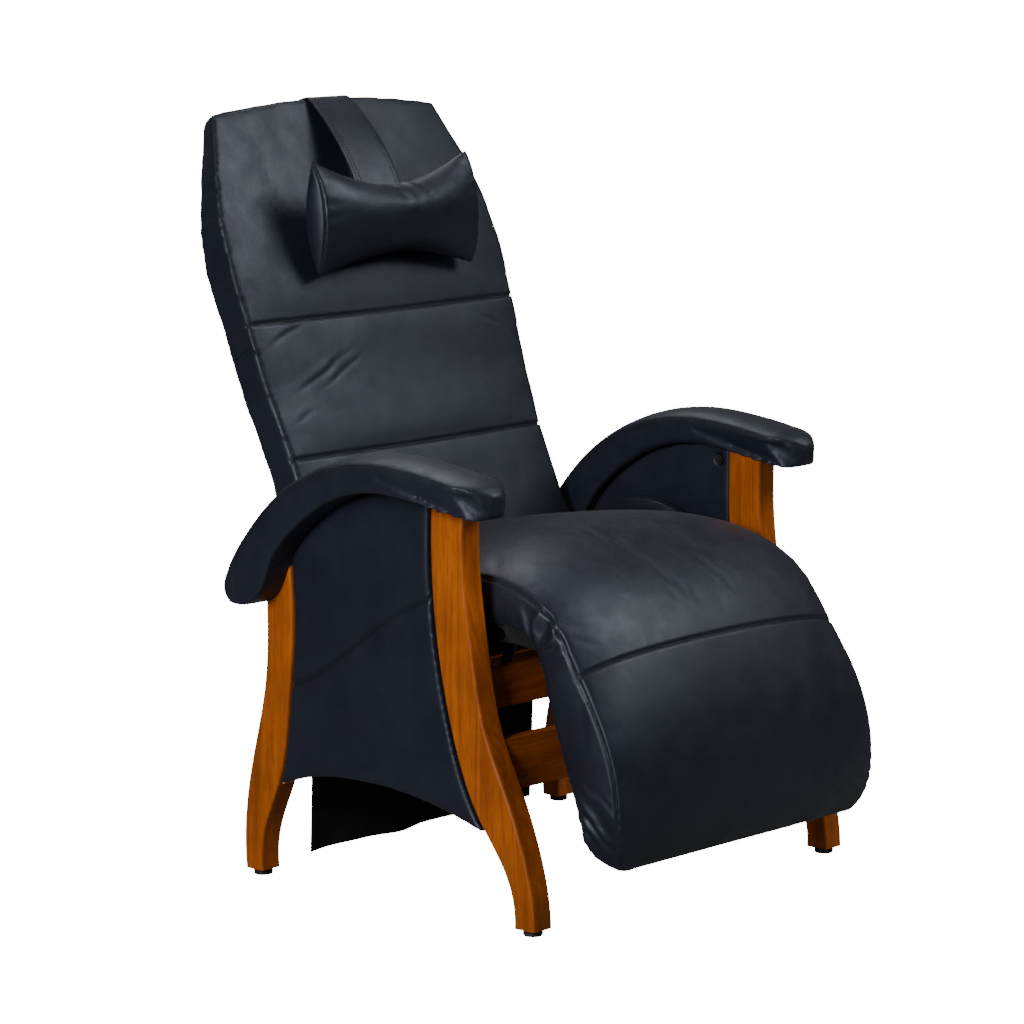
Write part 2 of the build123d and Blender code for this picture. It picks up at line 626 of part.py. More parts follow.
def lock_lever():
    """Lever under the seat, slotted in line with the tilt axis for the fork's pin."""
    angle = -90 + math.degrees(HALF_SWING)
    reach = LOCK_DROP / math.cos(HALF_SWING)
    top = (REAR_TUBE_Y, TUBE_Z - 3)
    end = turned(angle, reach + 6)
    tip = (HUB_Y + end[0], HUB_Z + end[1])
    lever = plate_arm([top, HUB, tip], 10, -PLATE_T / 2, PLATE_T / 2)
    lever += rod(*top, TUBE_R + 2.5, -12, 12)
    lever -= rod(*top, TUBE_R - 1, -13, 13)
    centre = turned(angle, reach - 1.5)
    slot = Pos(HUB_Y + centre[0], HUB_Z + centre[1]) * Rot(0, 0, angle) * SlotCenterToCenter(
        6, 2 * (LOCK_PIN_R + LOCK_SLOT_CLEARANCE))
    return lever - across(slot, -10, 10)


# ---- release button ----
def button_bezel():
    """Ring around the lock's release button, on the left inner panel."""
    return ring(BUTTON_Y, BUTTON_Z, BUTTON_R + 0.1, BUTTON_R + 2.5, INNER_X0 - 2, BOARD_X0)


def release_button():
    """Push button that frees the lock."""
    return rod(BUTTON_Y, BUTTON_Z, BUTTON_R, INNER_X0 - 4, BOARD_X0 - 4.5)


# ---- head pillow and strap ----
CROWN_UP = BACK_LENGTH + BACK_CROWN
PILLOW_UP = CROWN_UP - PILLOW_DROP
WEIGHT_UP = CROWN_UP - WEIGHT_DROP
PILLOW_WAIST = 18.0
TAPER_UP, TAPER_DEPTH = CROWN_UP - HEAD_TAPER, 22.0


def rear_depth(up):
    """Depth of the thinner head end's rear face at that station."""
    return BACK_PAD_T + (TAPER_DEPTH - BACK_PAD_T) * (up - TAPER_UP) / (CROWN_UP - TAPER_UP)


def head_strap():
    """Strap from behind the pillow, over the top of the backrest, to the counterweight."""
    near, far = SOFT_GAP, SOFT_GAP + STRAP_T
    front_end = PILLOW_UP + PILLOW_H / 2 - PILLOW_WAIST - STRAP_TUCK
    rear_end = WEIGHT_UP + WEIGHT_H / 2 - STRAP_TUCK
    path = [(front_end, -near), (CROWN_UP + near, -near), (CROWN_UP + near, rear_depth(CROWN_UP) + near),
            (rear_end, rear_depth(rear_end) + near), (rear_end, rear_depth(rear_end) + far),
            (CROWN_UP + far, rear_depth(CROWN_UP) + far), (CROWN_UP + far, -far), (front_end, -far)]
    return back_slab(path, STRAP_W / 2)


def counterweight():
    """Flat weighted pouch that balances the pillow behind the backrest."""
    near = 2 * SOFT_GAP + STRAP_T
    low, high = WEIGHT_UP - WEIGHT_H / 2, WEIGHT_UP + WEIGHT_H / 2
    path = [(low, rear_depth(low) + near), (high, rear_depth(high) + near),
            (high, rear_depth(high) + near + WEIGHT_T), (low, rear_depth(low) + near + WEIGHT_T)]
    return back_slab(path, STRAP_W / 2 + 5)


def pillow_cushion():
    """Head pillow: fuller at its ends than at its middle."""
    half_w, half_h = PILLOW_W / 2, PILLOW_H / 2
    waist = half_h - PILLOW_WAIST
    upper = ThreePointArc((-half_w, PILLOW_UP + half_h), (0, PILLOW_UP + waist), (half_w, PILLOW_UP + half_h))
    lower = ThreePointArc((half_w, PILLOW_UP - half_h), (0, PILLOW_UP - waist), (-half_w, PILLOW_UP - half_h))
    face = make_face(Curve() + [upper, Line(upper @ 1, lower @ 0), lower, Line(lower @ 1, upper @ 0)])
    y, z = back_point(0, -2 * SOFT_GAP - STRAP_T)
    plane = Plane(origin=(0, y, z), x_dir=(1, 0, 0), z_dir=(0, *BACK_OUT))
    return extrude(plane * face, amount=PILLOW_T)


def nodes():
    """Every node of the chair by name."""
    made = {}
    made |= pair("front_leg", leg(FRONT_LEG_FRONT, FRONT_LEG_BACK, FEET[0]))
    made |= pair("rear_leg", leg(REAR_LEG_FRONT, REAR_LEG_BACK, FEET[1]))
    board, outer, inner = side_panel()
    made |= pair("side_panel_board", board)
    made |= pair("outer_panel_pad", outer)
    inner_right = mirror(inner, about=Plane.YZ)
    made["inner_panel_pad_left"] = inner - rod(BUTTON_Y, BUTTON_Z, BUTTON_R + 2.5, INNER_X0 - 1, BOARD_X0)
    made["inner_panel_pad_right"] = inner_right
    core = arm_board()
    made |= pair("arm_board", core)
    made |= pair("arm_pad", arm_pad() - core)
    for name, (y, z, height) in RAILS.items():
        made[name] = cross_rail(y, z, height)
    made["rail_dowels"] = both_sides(dowels())
    made["foot_glides"] = foot_glides()
    screws = batten_screws()
    for name, solid in (("rear_skirt", rear_skirt()), ("skirt_batten", skirt_batten()),
                        ("rear_cross_rail", made["rear_cross_rail"])):
        for screw in screws:
            solid -= screw
        made[name] = solid
    made["skirt_screws"] = group(screws)
    made |= pair("pivot_bracket", pivot_bracket())
    made["bracket_bolts"] = both_sides(bracket_bolts())
    made |= pair("hub_cover", hub_cover())
    made["lock_bracket"] = lock_bracket()
    made["lock_cylinder"] = lock_cylinder()
    made["lock_rod"] = lock_rod()
    made["lock_pin"] = lock_pin()
    made["lock_lever"] = lock_lever()
    made["button_bezel"] = button_bezel()
    made["release_button"] = release_button()
    made |= pair("seat_side_plate", seat_side_plate())
    made["pivot_bushes"] = both_sides([ring(*HUB, SHAFT_R + RUNNING_CLEARANCE, SHAFT_R + BUSH_WALL,
                                            PLATE_INNER, PLATE_OUTER)])
    made["seat_front_tube"] = seat_tube(FRONT_TUBE_Y)
    made["seat_rear_tube"] = seat_tube(REAR_TUBE_Y)
    made["seat_board"] = seat_board()
    made["seat_cushion"] = seat_cushion()
    made["backrest_pins"] = both_sides([hinge_pin(BACK_PIN, LEVER_INNER - 2, PLATE_OUTER)])
    made["knee_pins"] = both_sides([hinge_pin(KNEE, LEG_ARM_INNER - 2, PLATE_OUTER)])
    made |= pair("leg_rest_arm", leg_arm())
    made["leg_rest_board"] = shin_slab(SHIN_BACK, SHIN_BACK + SHIN_BOARD_T, 24, SHIN_LENGTH, LEG_ARM_INNER)
    made["leg_cushion"] = leg_cushion()
    made |= pair("backrest_lever", back_lever())
    made["backrest_board"] = back_board()
    made["back_cushion"] = back_cushion()
    made["backrest_cover"] = back_cover()
    made["link_pins"] = both_sides([hinge_pin(LEVER_PIN, LINK_INNER - 2, LEVER_OUTER)])
    made |= pair("backrest_link", back_link())
    made["head_pillow"] = pillow_cushion()
    made["head_strap"] = head_strap()
    made["counterweight"] = counterweight()
    return made


def main():
    """Write one STEP file for each node."""
    os.makedirs("parts", exist_ok=True)
    for name, solid in nodes().items():
        export_step(Pos(0, BOX_SHIFT_Y, 0) * solid, f"parts/{name}.step")


main()
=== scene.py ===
"""Zero gravity recliner in black leather and stained wood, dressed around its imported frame.

The chair faces -Y and +Z is up. Every length is in metres. Side-view points are (y, z) pairs
measured from the middle of the feet, and backrest points are (across, up, behind its face).
"""

import json
import logging
import math
from dataclasses import dataclass
from enum import Enum
from typing import Callable, Sequence

import bmesh
import bpy
from mathutils import Matrix, Vector, noise
from mathutils.bvhtree import BVHTree
from mathutils.kdtree import KDTree


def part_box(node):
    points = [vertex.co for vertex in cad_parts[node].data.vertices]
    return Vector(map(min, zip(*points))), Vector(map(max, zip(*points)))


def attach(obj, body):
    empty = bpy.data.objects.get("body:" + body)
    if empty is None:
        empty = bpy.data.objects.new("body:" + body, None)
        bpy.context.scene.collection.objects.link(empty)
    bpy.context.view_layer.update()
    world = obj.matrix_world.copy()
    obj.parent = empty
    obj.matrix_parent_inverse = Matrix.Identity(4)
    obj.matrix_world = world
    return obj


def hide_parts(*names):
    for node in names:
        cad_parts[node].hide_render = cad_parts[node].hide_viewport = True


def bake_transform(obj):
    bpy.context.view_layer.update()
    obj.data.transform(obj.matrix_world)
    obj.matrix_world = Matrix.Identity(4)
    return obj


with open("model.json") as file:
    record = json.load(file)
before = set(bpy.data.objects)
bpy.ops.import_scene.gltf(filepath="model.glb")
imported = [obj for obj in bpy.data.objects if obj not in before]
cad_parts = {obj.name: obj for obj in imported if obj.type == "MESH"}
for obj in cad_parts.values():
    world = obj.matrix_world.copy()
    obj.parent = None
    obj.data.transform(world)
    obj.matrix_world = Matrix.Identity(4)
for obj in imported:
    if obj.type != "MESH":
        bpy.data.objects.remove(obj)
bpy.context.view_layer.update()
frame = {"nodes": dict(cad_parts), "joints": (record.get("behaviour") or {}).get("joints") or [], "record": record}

LOG = logging.getLogger("recliner")
SideView = Sequence[tuple[float, float]]
Colour = tuple[float, float, float]
Place = tuple[float, float, float]


class Body(Enum):
    """The moving bodies that leather pieces ride on."""

    FRAME = "frame"
    SEAT = "seat"
    LEG_REST = "leg_rest"
    BACKREST = "backrest"
    PILLOW = "pillow"
    POUCH = "pouch"


def joint(name: str) -> dict:
    """The frame's own record of one joint."""
    return next(entry for entry in frame["joints"] if entry["name"] == name)


def ramp(value: float, start: float, run: float) -> float:
    """How far along a run from its start a value is, from 0 to 1."""
    return min(max((value - start) / run, 0.0), 1.0)


def bell(value: float, centre: float, reach: float) -> float:
    """A smooth bump of height 1 around a centre."""
    return math.exp(-(((value - centre) / reach) ** 2))


HUB = Vector(joint("seat_tilt")["pos_m"])
HUB_BEHIND_MIDDLE = 0.065
SIDE_ORIGIN_Y = HUB.y - HUB_BEHIND_MIDDLE
ARM_CENTRE = 0.358
BACK_LEAN = math.radians(22.98)
BACK_UP = Vector((0.0, math.sin(BACK_LEAN), math.cos(BACK_LEAN)))
BACK_BEHIND = Vector((0.0, math.cos(BACK_LEAN), -math.sin(BACK_LEAN)))
BACK_FOOT = Vector((0.0, SIDE_ORIGIN_Y + 0.1831, 0.462))


def side(y: float, z: float, x: float = 0.0) -> Vector:
    """A side-view point as a place in the row frame."""
    return Vector((x, SIDE_ORIGIN_Y + y, z))


def on_back(across: float, up: float, behind: float) -> Vector:
    """A backrest point as a place in the row frame."""
    return BACK_FOOT + Vector((across, 0.0, 0.0)) + BACK_UP * up + BACK_BEHIND * behind


class SmoothPath:
    """A smooth line through a few points, by Catmull-Rom spans over their chord lengths."""

    def __init__(self, points: Sequence[Sequence[float]]) -> None:
        """Keep the points and their distances along the line.

        Args:
            points: Two or more points, in order.
        """
        self.points = [Vector(p) for p in points]
        self.marks = [0.0]
        for before, after in zip(self.points, self.points[1:]):
            self.marks.append(self.marks[-1] + (after - before).length)

    def at(self, share: float) -> Vector:
        """The point at that share of the line's length, from 0 to 1."""
        where = min(max(share, 0.0), 1.0) * self.marks[-1]
        span = max(i for i in range(len(self.marks) - 1) if self.marks[i] <= where + 1e-12)
        start, end = self.points[span], self.points[span + 1]
        size = self.marks[span + 1] - self.marks[span]
        t = (where - self.marks[span]) / size
        m0, m1 = self._slope(span) * size, self._slope(span + 1) * size
        a, b = t * t, t * t * t
        return start * (2 * b - 3 * a + 1) + m0 * (b - 2 * a + t) + end * (3 * a - 2 * b) + m1 * (b - a)

    def _slope(self, index: int) -> Vector:
        """The line's direction at one of its points."""
        low, high = max(index - 1, 0), min(index + 1, len(self.points) - 1)
        return (self.points[high] - self.points[low]) / (self.marks[high] - self.marks[low])

    def sample(self, count: int) -> list[Vector]:
        """That many points, evenly spaced."""
        return [self.at(i / (count - 1)) for i in range(count)]


# ---------------------------------------------------------------- finishes


MIX_FACTOR, MIX_LOW, MIX_HIGH, MIX_RESULT = 0, 6, 7, 2
"""Places of a colour mix's sockets, whose names aren't unique."""


class Shading:
    """A tree of shader nodes in the making, with short ways to add nodes and join them."""

    def __init__(self, tree: bpy.types.NodeTree) -> None:
        """Work in that tree, with textures laid in the piece's own space."""
        self.tree = tree
        self.space = self.put("TexCoord").outputs["Object"]

    def fill(self, node: bpy.types.Node, values: dict[str, object]) -> None:
        """Set a node's options and inputs.

        Args:
            node: The node.
            values: Options by attribute name, or inputs by name with spaces as underscores. An input that is
                given a socket is joined to it.
        """
        for key, value in values.items():
            if hasattr(node, key):
                setattr(node, key, value)
            elif isinstance(value, bpy.types.NodeSocket):
                self.tree.links.new(value, node.inputs[key.replace("_", " ")])
            else:
                node.inputs[key.replace("_", " ")].default_value = value

    def put(self, kind: str, **values: object) -> bpy.types.Node:
        """Add a node of a kind, filled with its values."""
        node = self.tree.nodes.new(f"ShaderNode{kind}")
        self.fill(node, values)
        return node

    def join(self, *pairs: tuple[bpy.types.NodeSocket, bpy.types.NodeSocket]) -> None:
        """Join pairs of an output and an input."""
        for source, target in pairs:
            self.tree.links.new(source, target)

    def noise(self, scale: float | bpy.types.NodeSocket, detail: float, roughness: float = 0.5,
              distortion: float = 0.0) -> bpy.types.NodeSocket:
        """An uneven value at each place.

        Args:
            scale: Its features, per metre.
            detail: How many finer layers lie over it.
            roughness: How strong the finer layers are.
            distortion: How far it is stirred.

        Returns:
            The value's socket.
        """
        return self.put("TexNoise", Vector=self.space, Scale=scale, Detail=detail, Roughness=roughness,
                        Distortion=distortion).outputs["Fac"]

    def spread(self, value: bpy.types.NodeSocket, **ends: object) -> bpy.types.NodeSocket:
        """A value carried from one range (From_Min, From_Max) to another (To_Min, To_Max)."""
        return self.put("MapRange", Value=value, **ends).outputs["Result"]

    def cloud(self, scale: float, low: float = 0.35, high: float = 0.65) -> bpy.types.NodeSocket:
        """A soft uneven value from the shared cloud, for colour drift and handling wear.

        Args:
            scale: Size of the clouds, per metre.
            low: Cloud value that becomes 0.
            high: Cloud value that becomes 1.

        Returns:
            The value's socket.
        """
        return self.put("Group", node_tree=CLOUD, Scale=scale, Low=low, High=high).outputs["Value"]

    def mixed(self, factor: bpy.types.NodeSocket, low: Colour, high: Colour) -> bpy.types.NodeSocket:
        """A colour between two, by a value."""
        node = self.put("Mix", data_type="RGBA")
        node.inputs[MIX_LOW].default_value = (*low, 1.0)
        node.inputs[MIX_HIGH].default_value = (*high, 1.0)
        self.join((factor, node.inputs[MIX_FACTOR]))
        return node.outputs[MIX_RESULT]

    def bumped(self, height: bpy.types.NodeSocket, distance: float, strength: float,
               under: bpy.types.NodeSocket | None = None) -> bpy.types.NodeSocket:
        """Turn a height into a normal, over an earlier normal if there is one."""
        node = self.put("Bump", Height=height, Distance=distance, Strength=strength)
        if under is not None:
            self.join((under, node.inputs["Normal"]))
        return node.outputs["Normal"]


class Finish(Shading):
    """A new material around one Principled shader."""

    def __init__(self, name: str) -> None:
        """Make the material."""
        self.material = bpy.data.materials.new(name)
        self.material.use_nodes = True
        super().__init__(self.material.node_tree)
        self.shader = self.tree.nodes["Principled BSDF"]

    def done(self, **values: object) -> bpy.types.Material:
        """Fill the shader's inputs and give the material."""
        self.fill(self.shader, values)
        return self.material


def cloud_group() -> bpy.types.NodeTree:
    """The node group of a soft uneven cloud, with its scale and the two values that it spreads apart."""
    tree = bpy.data.node_groups.new("soft_cloud", "ShaderNodeTree")
    for label in ("Scale", "Low", "High"):
        tree.interface.new_socket(label, in_out="INPUT", socket_type="NodeSocketFloat")
    tree.interface.new_socket("Value", in_out="OUTPUT", socket_type="NodeSocketFloat")
    given = tree.nodes.new("NodeGroupInput").outputs
    work = Shading(tree)
    value = work.spread(work.noise(given["Scale"], 4.0, 0.55), From_Min=given["Low"], From_Max=given["High"])
    work.join((value, tree.nodes.new("NodeGroupOutput").inputs["Value"]))
    return tree


CLOUD = cloud_group()


@dataclass(frozen=True)
class Leather:
    """Soft grained leather: pebbled grain, fine pores, handling sheen and faint creases."""

    name: str = "black_leather"
    colour: Colour = (0.0060, 0.0070, 0.0145)
    faded: Colour = (0.0090, 0.0104, 0.0205)
    roughness: float = 0.44
    grain_scale: float = 620.0
    crease_scale: float = 16.0

    def build(self) -> bpy.types.Material:
        """Make the material."""
        work = Finish(self.name)
        pebble = work.put("TexVoronoi", feature="DISTANCE_TO_EDGE", Vector=work.space, Scale=self.grain_scale,
                          Randomness=1.0).outputs["Distance"]
        pores = work.noise(self.grain_scale * 2.5, 3.0, 0.6)
        slack = work.bumped(work.noise(self.crease_scale, 6.0, 0.52, 0.9), 0.0022, 0.22)
        grain = work.bumped(pebble, 0.0004, 0.5, slack)
        return work.done(
            Base_Color=work.mixed(work.cloud(7.0), self.colour, self.faded),
            Roughness=work.spread(work.cloud(23.0), To_Min=self.roughness - 0.05,
                                  To_Max=self.roughness + 0.07),
            Normal=work.bumped(pores, 0.0001, 0.35, grain),
            Sheen_Weight=0.03, Sheen_Roughness=0.45,
            Specular_IOR_Level=0.40, Specular_Tint=(0.80, 0.86, 1.0, 1.0))


@dataclass(frozen=True)
class StainedWood:
    """Hardwood under an orange-brown stain, with its grain along one axis."""

    name: str = "stained_wood"
    pale: Colour = (0.45, 0.110, 0.004)
    dark: Colour = (0.27, 0.058, 0.002)
    along: tuple[float, float, float] = (1.0, 1.0, 0.07)
    roughness: float = 0.42
    coat: float = 0.06

    def build(self) -> bpy.types.Material:
        """Make the material."""
        work = Finish(self.name)
        work.space = work.put("Mapping", Vector=work.space, Scale=self.along).outputs["Vector"]
        bands = work.noise(34.0, 5.0, 0.62, 1.3)
        pores = work.noise(420.0, 3.0, 0.7)
        grain = work.mixed(work.spread(bands, From_Min=0.36, From_Max=0.66), self.dark, self.pale)
        flecks = work.spread(pores, From_Min=0.3, From_Max=0.52, To_Min=0.72, To_Max=1.0)
        tone = work.spread(work.cloud(11.0), To_Min=0.82, To_Max=1.12)
        shade = work.put("Math", operation="MULTIPLY")
        tint = work.put("Mix", data_type="RGBA", blend_type="MULTIPLY")
        tint.inputs[MIX_FACTOR].default_value = 1.0
        work.join((flecks, shade.inputs[0]), (tone, shade.inputs[1]),
                  (grain, tint.inputs[MIX_LOW]), (shade.outputs[0], tint.inputs[MIX_HIGH]))
        return work.done(
            Base_Color=tint.outputs[MIX_RESULT],
            Roughness=work.spread(pores, To_Min=self.roughness + 0.1, To_Max=self.roughness),
            Normal=work.bumped(pores, 0.0003, 0.25),
            Specular_IOR_Level=0.25, Coat_Weight=self.coat, Coat_Roughness=0.28)


@dataclass(frozen=True)
class Plain:
    """A hard finish with a fine texture: paint, plating, moulded plastic or bare plywood."""

    name: str
    colour: Colour
    worn: Colour
    roughness: float
    metallic: float = 0.0
    texture_scale: float = 900.0
    texture_depth: float = 0.0001

    def build(self) -> bpy.types.Material:
        """Make the material."""
        work = Finish(self.name)
        wear = work.cloud(40.0, 0.45, 0.75)
        return work.done(
            Base_Color=work.mixed(wear, self.colour, self.worn),
            Roughness=work.spread(wear, To_Min=self.roughness - 0.06, To_Max=self.roughness + 0.08),
            Normal=work.bumped(work.noise(self.texture_scale, 2.0), self.texture_depth, 0.4),
            Metallic=self.metallic)


@dataclass(frozen=True)
class DustCloth:
    """Thin black woven dust-cover fabric."""

    name: str = "skirt_fabric"
    colour: Colour = (0.0025, 0.0025, 0.0035)
    lit: Colour = (0.0055, 0.0055, 0.007)
    threads: float = 900.0

    def build(self) -> bpy.types.Material:
        """Make the material."""
        work = Finish(self.name)
        normal = None
        for direction in ("X", "Z"):
            thread = work.put("TexWave", bands_direction=direction, Vector=work.space, Scale=self.threads / 3,
                              Distortion=0.3)
            normal = work.bumped(thread.outputs["Fac"], 0.0003, 0.5, normal)
        return work.done(Base_Color=work.mixed(work.cloud(15.0), self.colour, self.lit), Normal=normal,
                         Roughness=0.9, Sheen_Weight=0.05, Specular_IOR_Level=0.2)


class Finishes:
    """Every finish of the chair, made once."""

    def __init__(self) -> None:
        """Make the materials."""
        self.leather = Leather().build()
        # Seam thread, darker than the leather. On the cords laid along the seams, this dark colour also paints the
        # shade of each seam's fold as a thin dark line. On the stitches it is real thread.
        self.thread = Plain("seam_thread_and_shade", (0.003, 0.003, 0.005), (0.006, 0.006, 0.009), 0.7).build()
        self.cloth = DustCloth().build()
        self.by_slot = {
            "stained_wood": StainedWood().build(),
            "stained_wood_rails": StainedWood("stained_wood_rails", along=(0.07, 1.0, 1.0)).build(),
            "plywood": Plain("plywood", (0.42, 0.28, 0.15), (0.5, 0.36, 0.2), 0.7,
                             texture_scale=90.0).build(),
            "black_leather": self.leather,
            "black_steel": Plain("black_steel", (0.005, 0.005, 0.006), (0.009, 0.009, 0.010), 0.5).build(),
            "bright_steel": Plain("bright_steel", (0.5, 0.5, 0.51), (0.62, 0.61, 0.6), 0.32, 1.0).build(),
            "black_plastic": Plain("black_plastic", (0.01, 0.01, 0.011), (0.018, 0.018, 0.02), 0.5).build(),
            "nylon": Plain("nylon", (0.6, 0.58, 0.52), (0.66, 0.64, 0.58), 0.45).build(),
            "skirt_fabric": self.cloth,
        }

    def dress_frame(self) -> None:
        """Give every CAD node the finish of its material slot."""
        slots = {part["node"]: part["material_slot"] for part in frame["record"]["subparts"]}
        for node, slot in slots.items():
            if node.endswith("cross_rail"):
                slot = "stained_wood_rails"
            data = frame["nodes"][node].data
            data.materials.clear()
            data.materials.append(self.by_slot[slot])


# ---------------------------------------------------------------- making soft pieces


def in_scene(name: str, data: bpy.types.ID) -> bpy.types.Object:
    """A new object in the scene, around its data."""
    made = bpy.data.objects.new(name, data)
    bpy.context.scene.collection.objects.link(made)
    return made


def to_object(shape: bmesh.types.BMesh, name: str) -> bpy.types.Object:
    """Turn a finished bmesh into an object in the scene."""
    mesh = bpy.data.meshes.new(name)
    bmesh.ops.recalc_face_normals(shape, faces=shape.faces)
    shape.to_mesh(mesh)
    shape.free()
    return in_scene(name, mesh)


def modify(piece: bpy.types.Object, kind: str, **options: object) -> None:
    """Change a piece's mesh by one modifier.

    Args:
        piece: The piece.
        kind: The modifier's type.
        **options: Its settings by name.
    """
    modifier = piece.modifiers.new(kind.lower(), kind)
    for key, value in options.items():
        setattr(modifier, key, value)
    depsgraph = bpy.context.evaluated_depsgraph_get()
    depsgraph.update()
    mesh = bpy.data.meshes.new_from_object(piece.evaluated_get(depsgraph))
    old = piece.data
    piece.modifiers.clear()
    piece.data = mesh
    mesh.name = piece.name
    bpy.data.meshes.remove(old)


def remesh(piece: bpy.types.Object, voxel: float) -> None:
    """Rebuild a closed piece as an even net of squares of about that size."""
    modify(piece, "REMESH", mode="VOXEL", voxel_size=voxel)


def relax(piece: bpy.types.Object, rounds: int) -> None:
    """Smooth a piece's surface that many times."""
    modify(piece, "SMOOTH", factor=0.5, iterations=rounds)


def refine(piece: bpy.types.Object) -> None:
    """Subdivide a piece smoothly, once."""
    modify(piece, "SUBSURF", levels=1, render_levels=1)


def reshape(piece: bpy.types.Object, rule: Callable[[Vector, Vector], Vector]) -> None:
    """Move every vertex by a rule of its place and its outward direction."""
    mesh = piece.data
    normals = [Vector(v.vector) for v in mesh.vertex_normals]
    moved = [rule(vertex.co.copy(), normals[vertex.index]) for vertex in mesh.vertices]
    for vertex, place in zip(mesh.vertices, moved):
        vertex.co = place
    mesh.update()


COVER_CLOTH = {"use_pressure": True, "quality": 5, "mass": 0.4, "tension_stiffness": 12.0,
               "compression_stiffness": 12.0, "bending_stiffness": 1.5}
"""Cloth settings of stiff cover leather, which stretches little."""


def inflate(piece: bpy.types.Object, held: Callable[[Vector], bool], cap: float, pressure: float = 4.0,
            frames: int = 20) -> None:
    """Let a piece swell under pressure as leather over foam, with its sewn lines held.

    Args:
        piece: A closed piece with an even net.
        held: Tells whether a place on the piece is sewn down.
        cap: The furthest that any point may move.
        pressure: The cloth's inner pressure.
        frames: How many steps the cloth takes.
    """
    sewn = piece.vertex_groups.new(name="sewn")
    sewn.add([v.index for v in piece.data.vertices if held(v.co)], 1.0, "REPLACE")
    cloth = piece.modifiers.new("swell", "CLOTH")
    for key, value in COVER_CLOTH.items():
        setattr(cloth.settings, key, value)
    cloth.settings.uniform_pressure_force = pressure
    cloth.settings.vertex_group_mass = "sewn"
    cloth.settings.effector_weights.gravity = 0.0
    scene = bpy.context.scene
    cloth.point_cache.frame_start = 1
    cloth.point_cache.frame_end = frames
    for step in range(1, frames + 1):
        scene.frame_set(step)
    depsgraph = bpy.context.evaluated_depsgraph_get()
    swollen = [v.co.copy() for v in piece.evaluated_get(depsgraph).data.vertices]
    piece.modifiers.clear()
    piece.vertex_groups.clear()
    scene.frame_set(1)
    for vertex, place in zip(piece.data.vertices, swollen):
        step = place - vertex.co
        if step.length > cap:
            step *= cap / step.length
        vertex.co += step
    piece.data.update()


def evened(points: Sequence[Vector], rounds: int = 24) -> list[Vector]:
    """Take the small zigzags out of a line, keeping its ends."""
    line = [point.copy() for point in points]
    for _ in range(rounds):
        middle = [(a + 2 * b + c) / 4 for a, b, c in zip(line, line[1:], line[2:])]
        line = [line[0], *middle, line[-1]]
    return line


class Skin:
    """The surface of a piece, for laying seams and straps on it."""

    def __init__(self, piece: bpy.types.Object) -> None:
        """Read the piece's mesh."""
        shape = bmesh.new()
        shape.from_mesh(piece.data)
        self.tree = BVHTree.FromBMesh(shape)
        shape.free()

    def lay_facing(self, points: Sequence[Vector], lift: float) -> list[tuple[Vector, Vector]]:
        """Move points to the nearest place on the surface.

        Args:
            points: Where the line should run.
            lift: How far off the surface it ends up.

        Returns:
            Each point's place, and the surface's direction there.
        """
        found = (self.tree.find_nearest(point) for point in points)
        return [(place + normal * lift, normal) for place, normal, _, _ in found]

    def lay(self, points: Sequence[Vector], lift: float) -> list[Vector]:
        """Move points to the nearest place on the surface, as one even line."""
        return evened([place for place, _ in self.lay_facing(points, lift)], 10)

    def drop(self, points: Sequence[Vector], way: Vector) -> list[Vector]:
        """Where rays from the points along one direction first meet the surface."""
        laid = []
        for point in points:
            place, _, _, _ = self.tree.ray_cast(point, way)
            laid.append(place if place is not None else self.tree.find_nearest(point)[0])
        return evened(laid)


def search_tree(points: Sequence[Vector]) -> KDTree:
    """A search tree of places."""
    tree = KDTree(len(points))
    for index, point in enumerate(points):
        tree.insert(point, index)
    tree.balance()
    return tree


class SideLine:
    """A line across the side view, and how far from it a place is."""

    def __init__(self, points: SideView, count: int) -> None:
        """Sample the smooth line through the points that many times."""
        self.tree = search_tree([Vector((p[0], p[1], 0.0)) for p in SmoothPath(points).sample(count)])

    def gap(self, place: Vector) -> float:
        """A place's distance from the line, seen from the side."""
        return self.tree.find(Vector((place.y - SIDE_ORIGIN_Y, place.z, 0.0)))[2]


def sew(piece: bpy.types.Object, lines: Sequence[Sequence[Vector]], depth: float, width: float) -> None:
    """Draw the leather in along its sewn lines.

    Args:
        piece: The piece, with a fine net.
        lines: The lines, each a dense list of points on the surface.
        depth: How deep the fold of the seam is.
        width: How far the fold reaches to each side.
    """
    tree = search_tree([point for line in lines for point in line])

    def fold(place: Vector, outward: Vector) -> Vector:
        distance = tree.find(place)[2]
        if distance > 3 * width:
            return place
        return place - outward * depth * math.exp(-((distance / width) ** 2))

    reshape(piece, fold)


def cord_mesh(points: Sequence[Vector], radius: float) -> bpy.types.Mesh:
    """The mesh of a thin round cord through points, with closed ends."""
    curve = bpy.data.curves.new("cord", "CURVE")
    curve.dimensions = "3D"
    curve.bevel_depth = radius
    curve.bevel_resolution = 1
    curve.use_fill_caps = True
    spline = curve.splines.new("POLY")
    spline.points.add(len(points) - 1)
    for point, place in zip(spline.points, points):
        point.co = (*place, 1.0)
    holder = in_scene("cord", curve)
    depsgraph = bpy.context.evaluated_depsgraph_get()
    mesh = bpy.data.meshes.new_from_object(holder.evaluated_get(depsgraph))
    bpy.data.objects.remove(holder)
    bpy.data.curves.remove(curve)
    return mesh


def dressed(piece: bpy.types.Object, material: bpy.types.Material, body: Body | None) -> bpy.types.Object:
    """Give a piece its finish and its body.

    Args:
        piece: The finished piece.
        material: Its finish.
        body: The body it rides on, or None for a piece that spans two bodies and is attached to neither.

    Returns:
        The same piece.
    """
    piece.data.materials.clear()
    piece.data.materials.append(material)
    for face in piece.data.polygons:
        face.use_smooth = True
    if body is not None:
        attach(piece, body.value)
    LOG.info("%s: %d vertices", piece.name, len(piece.data.vertices))
    return piece


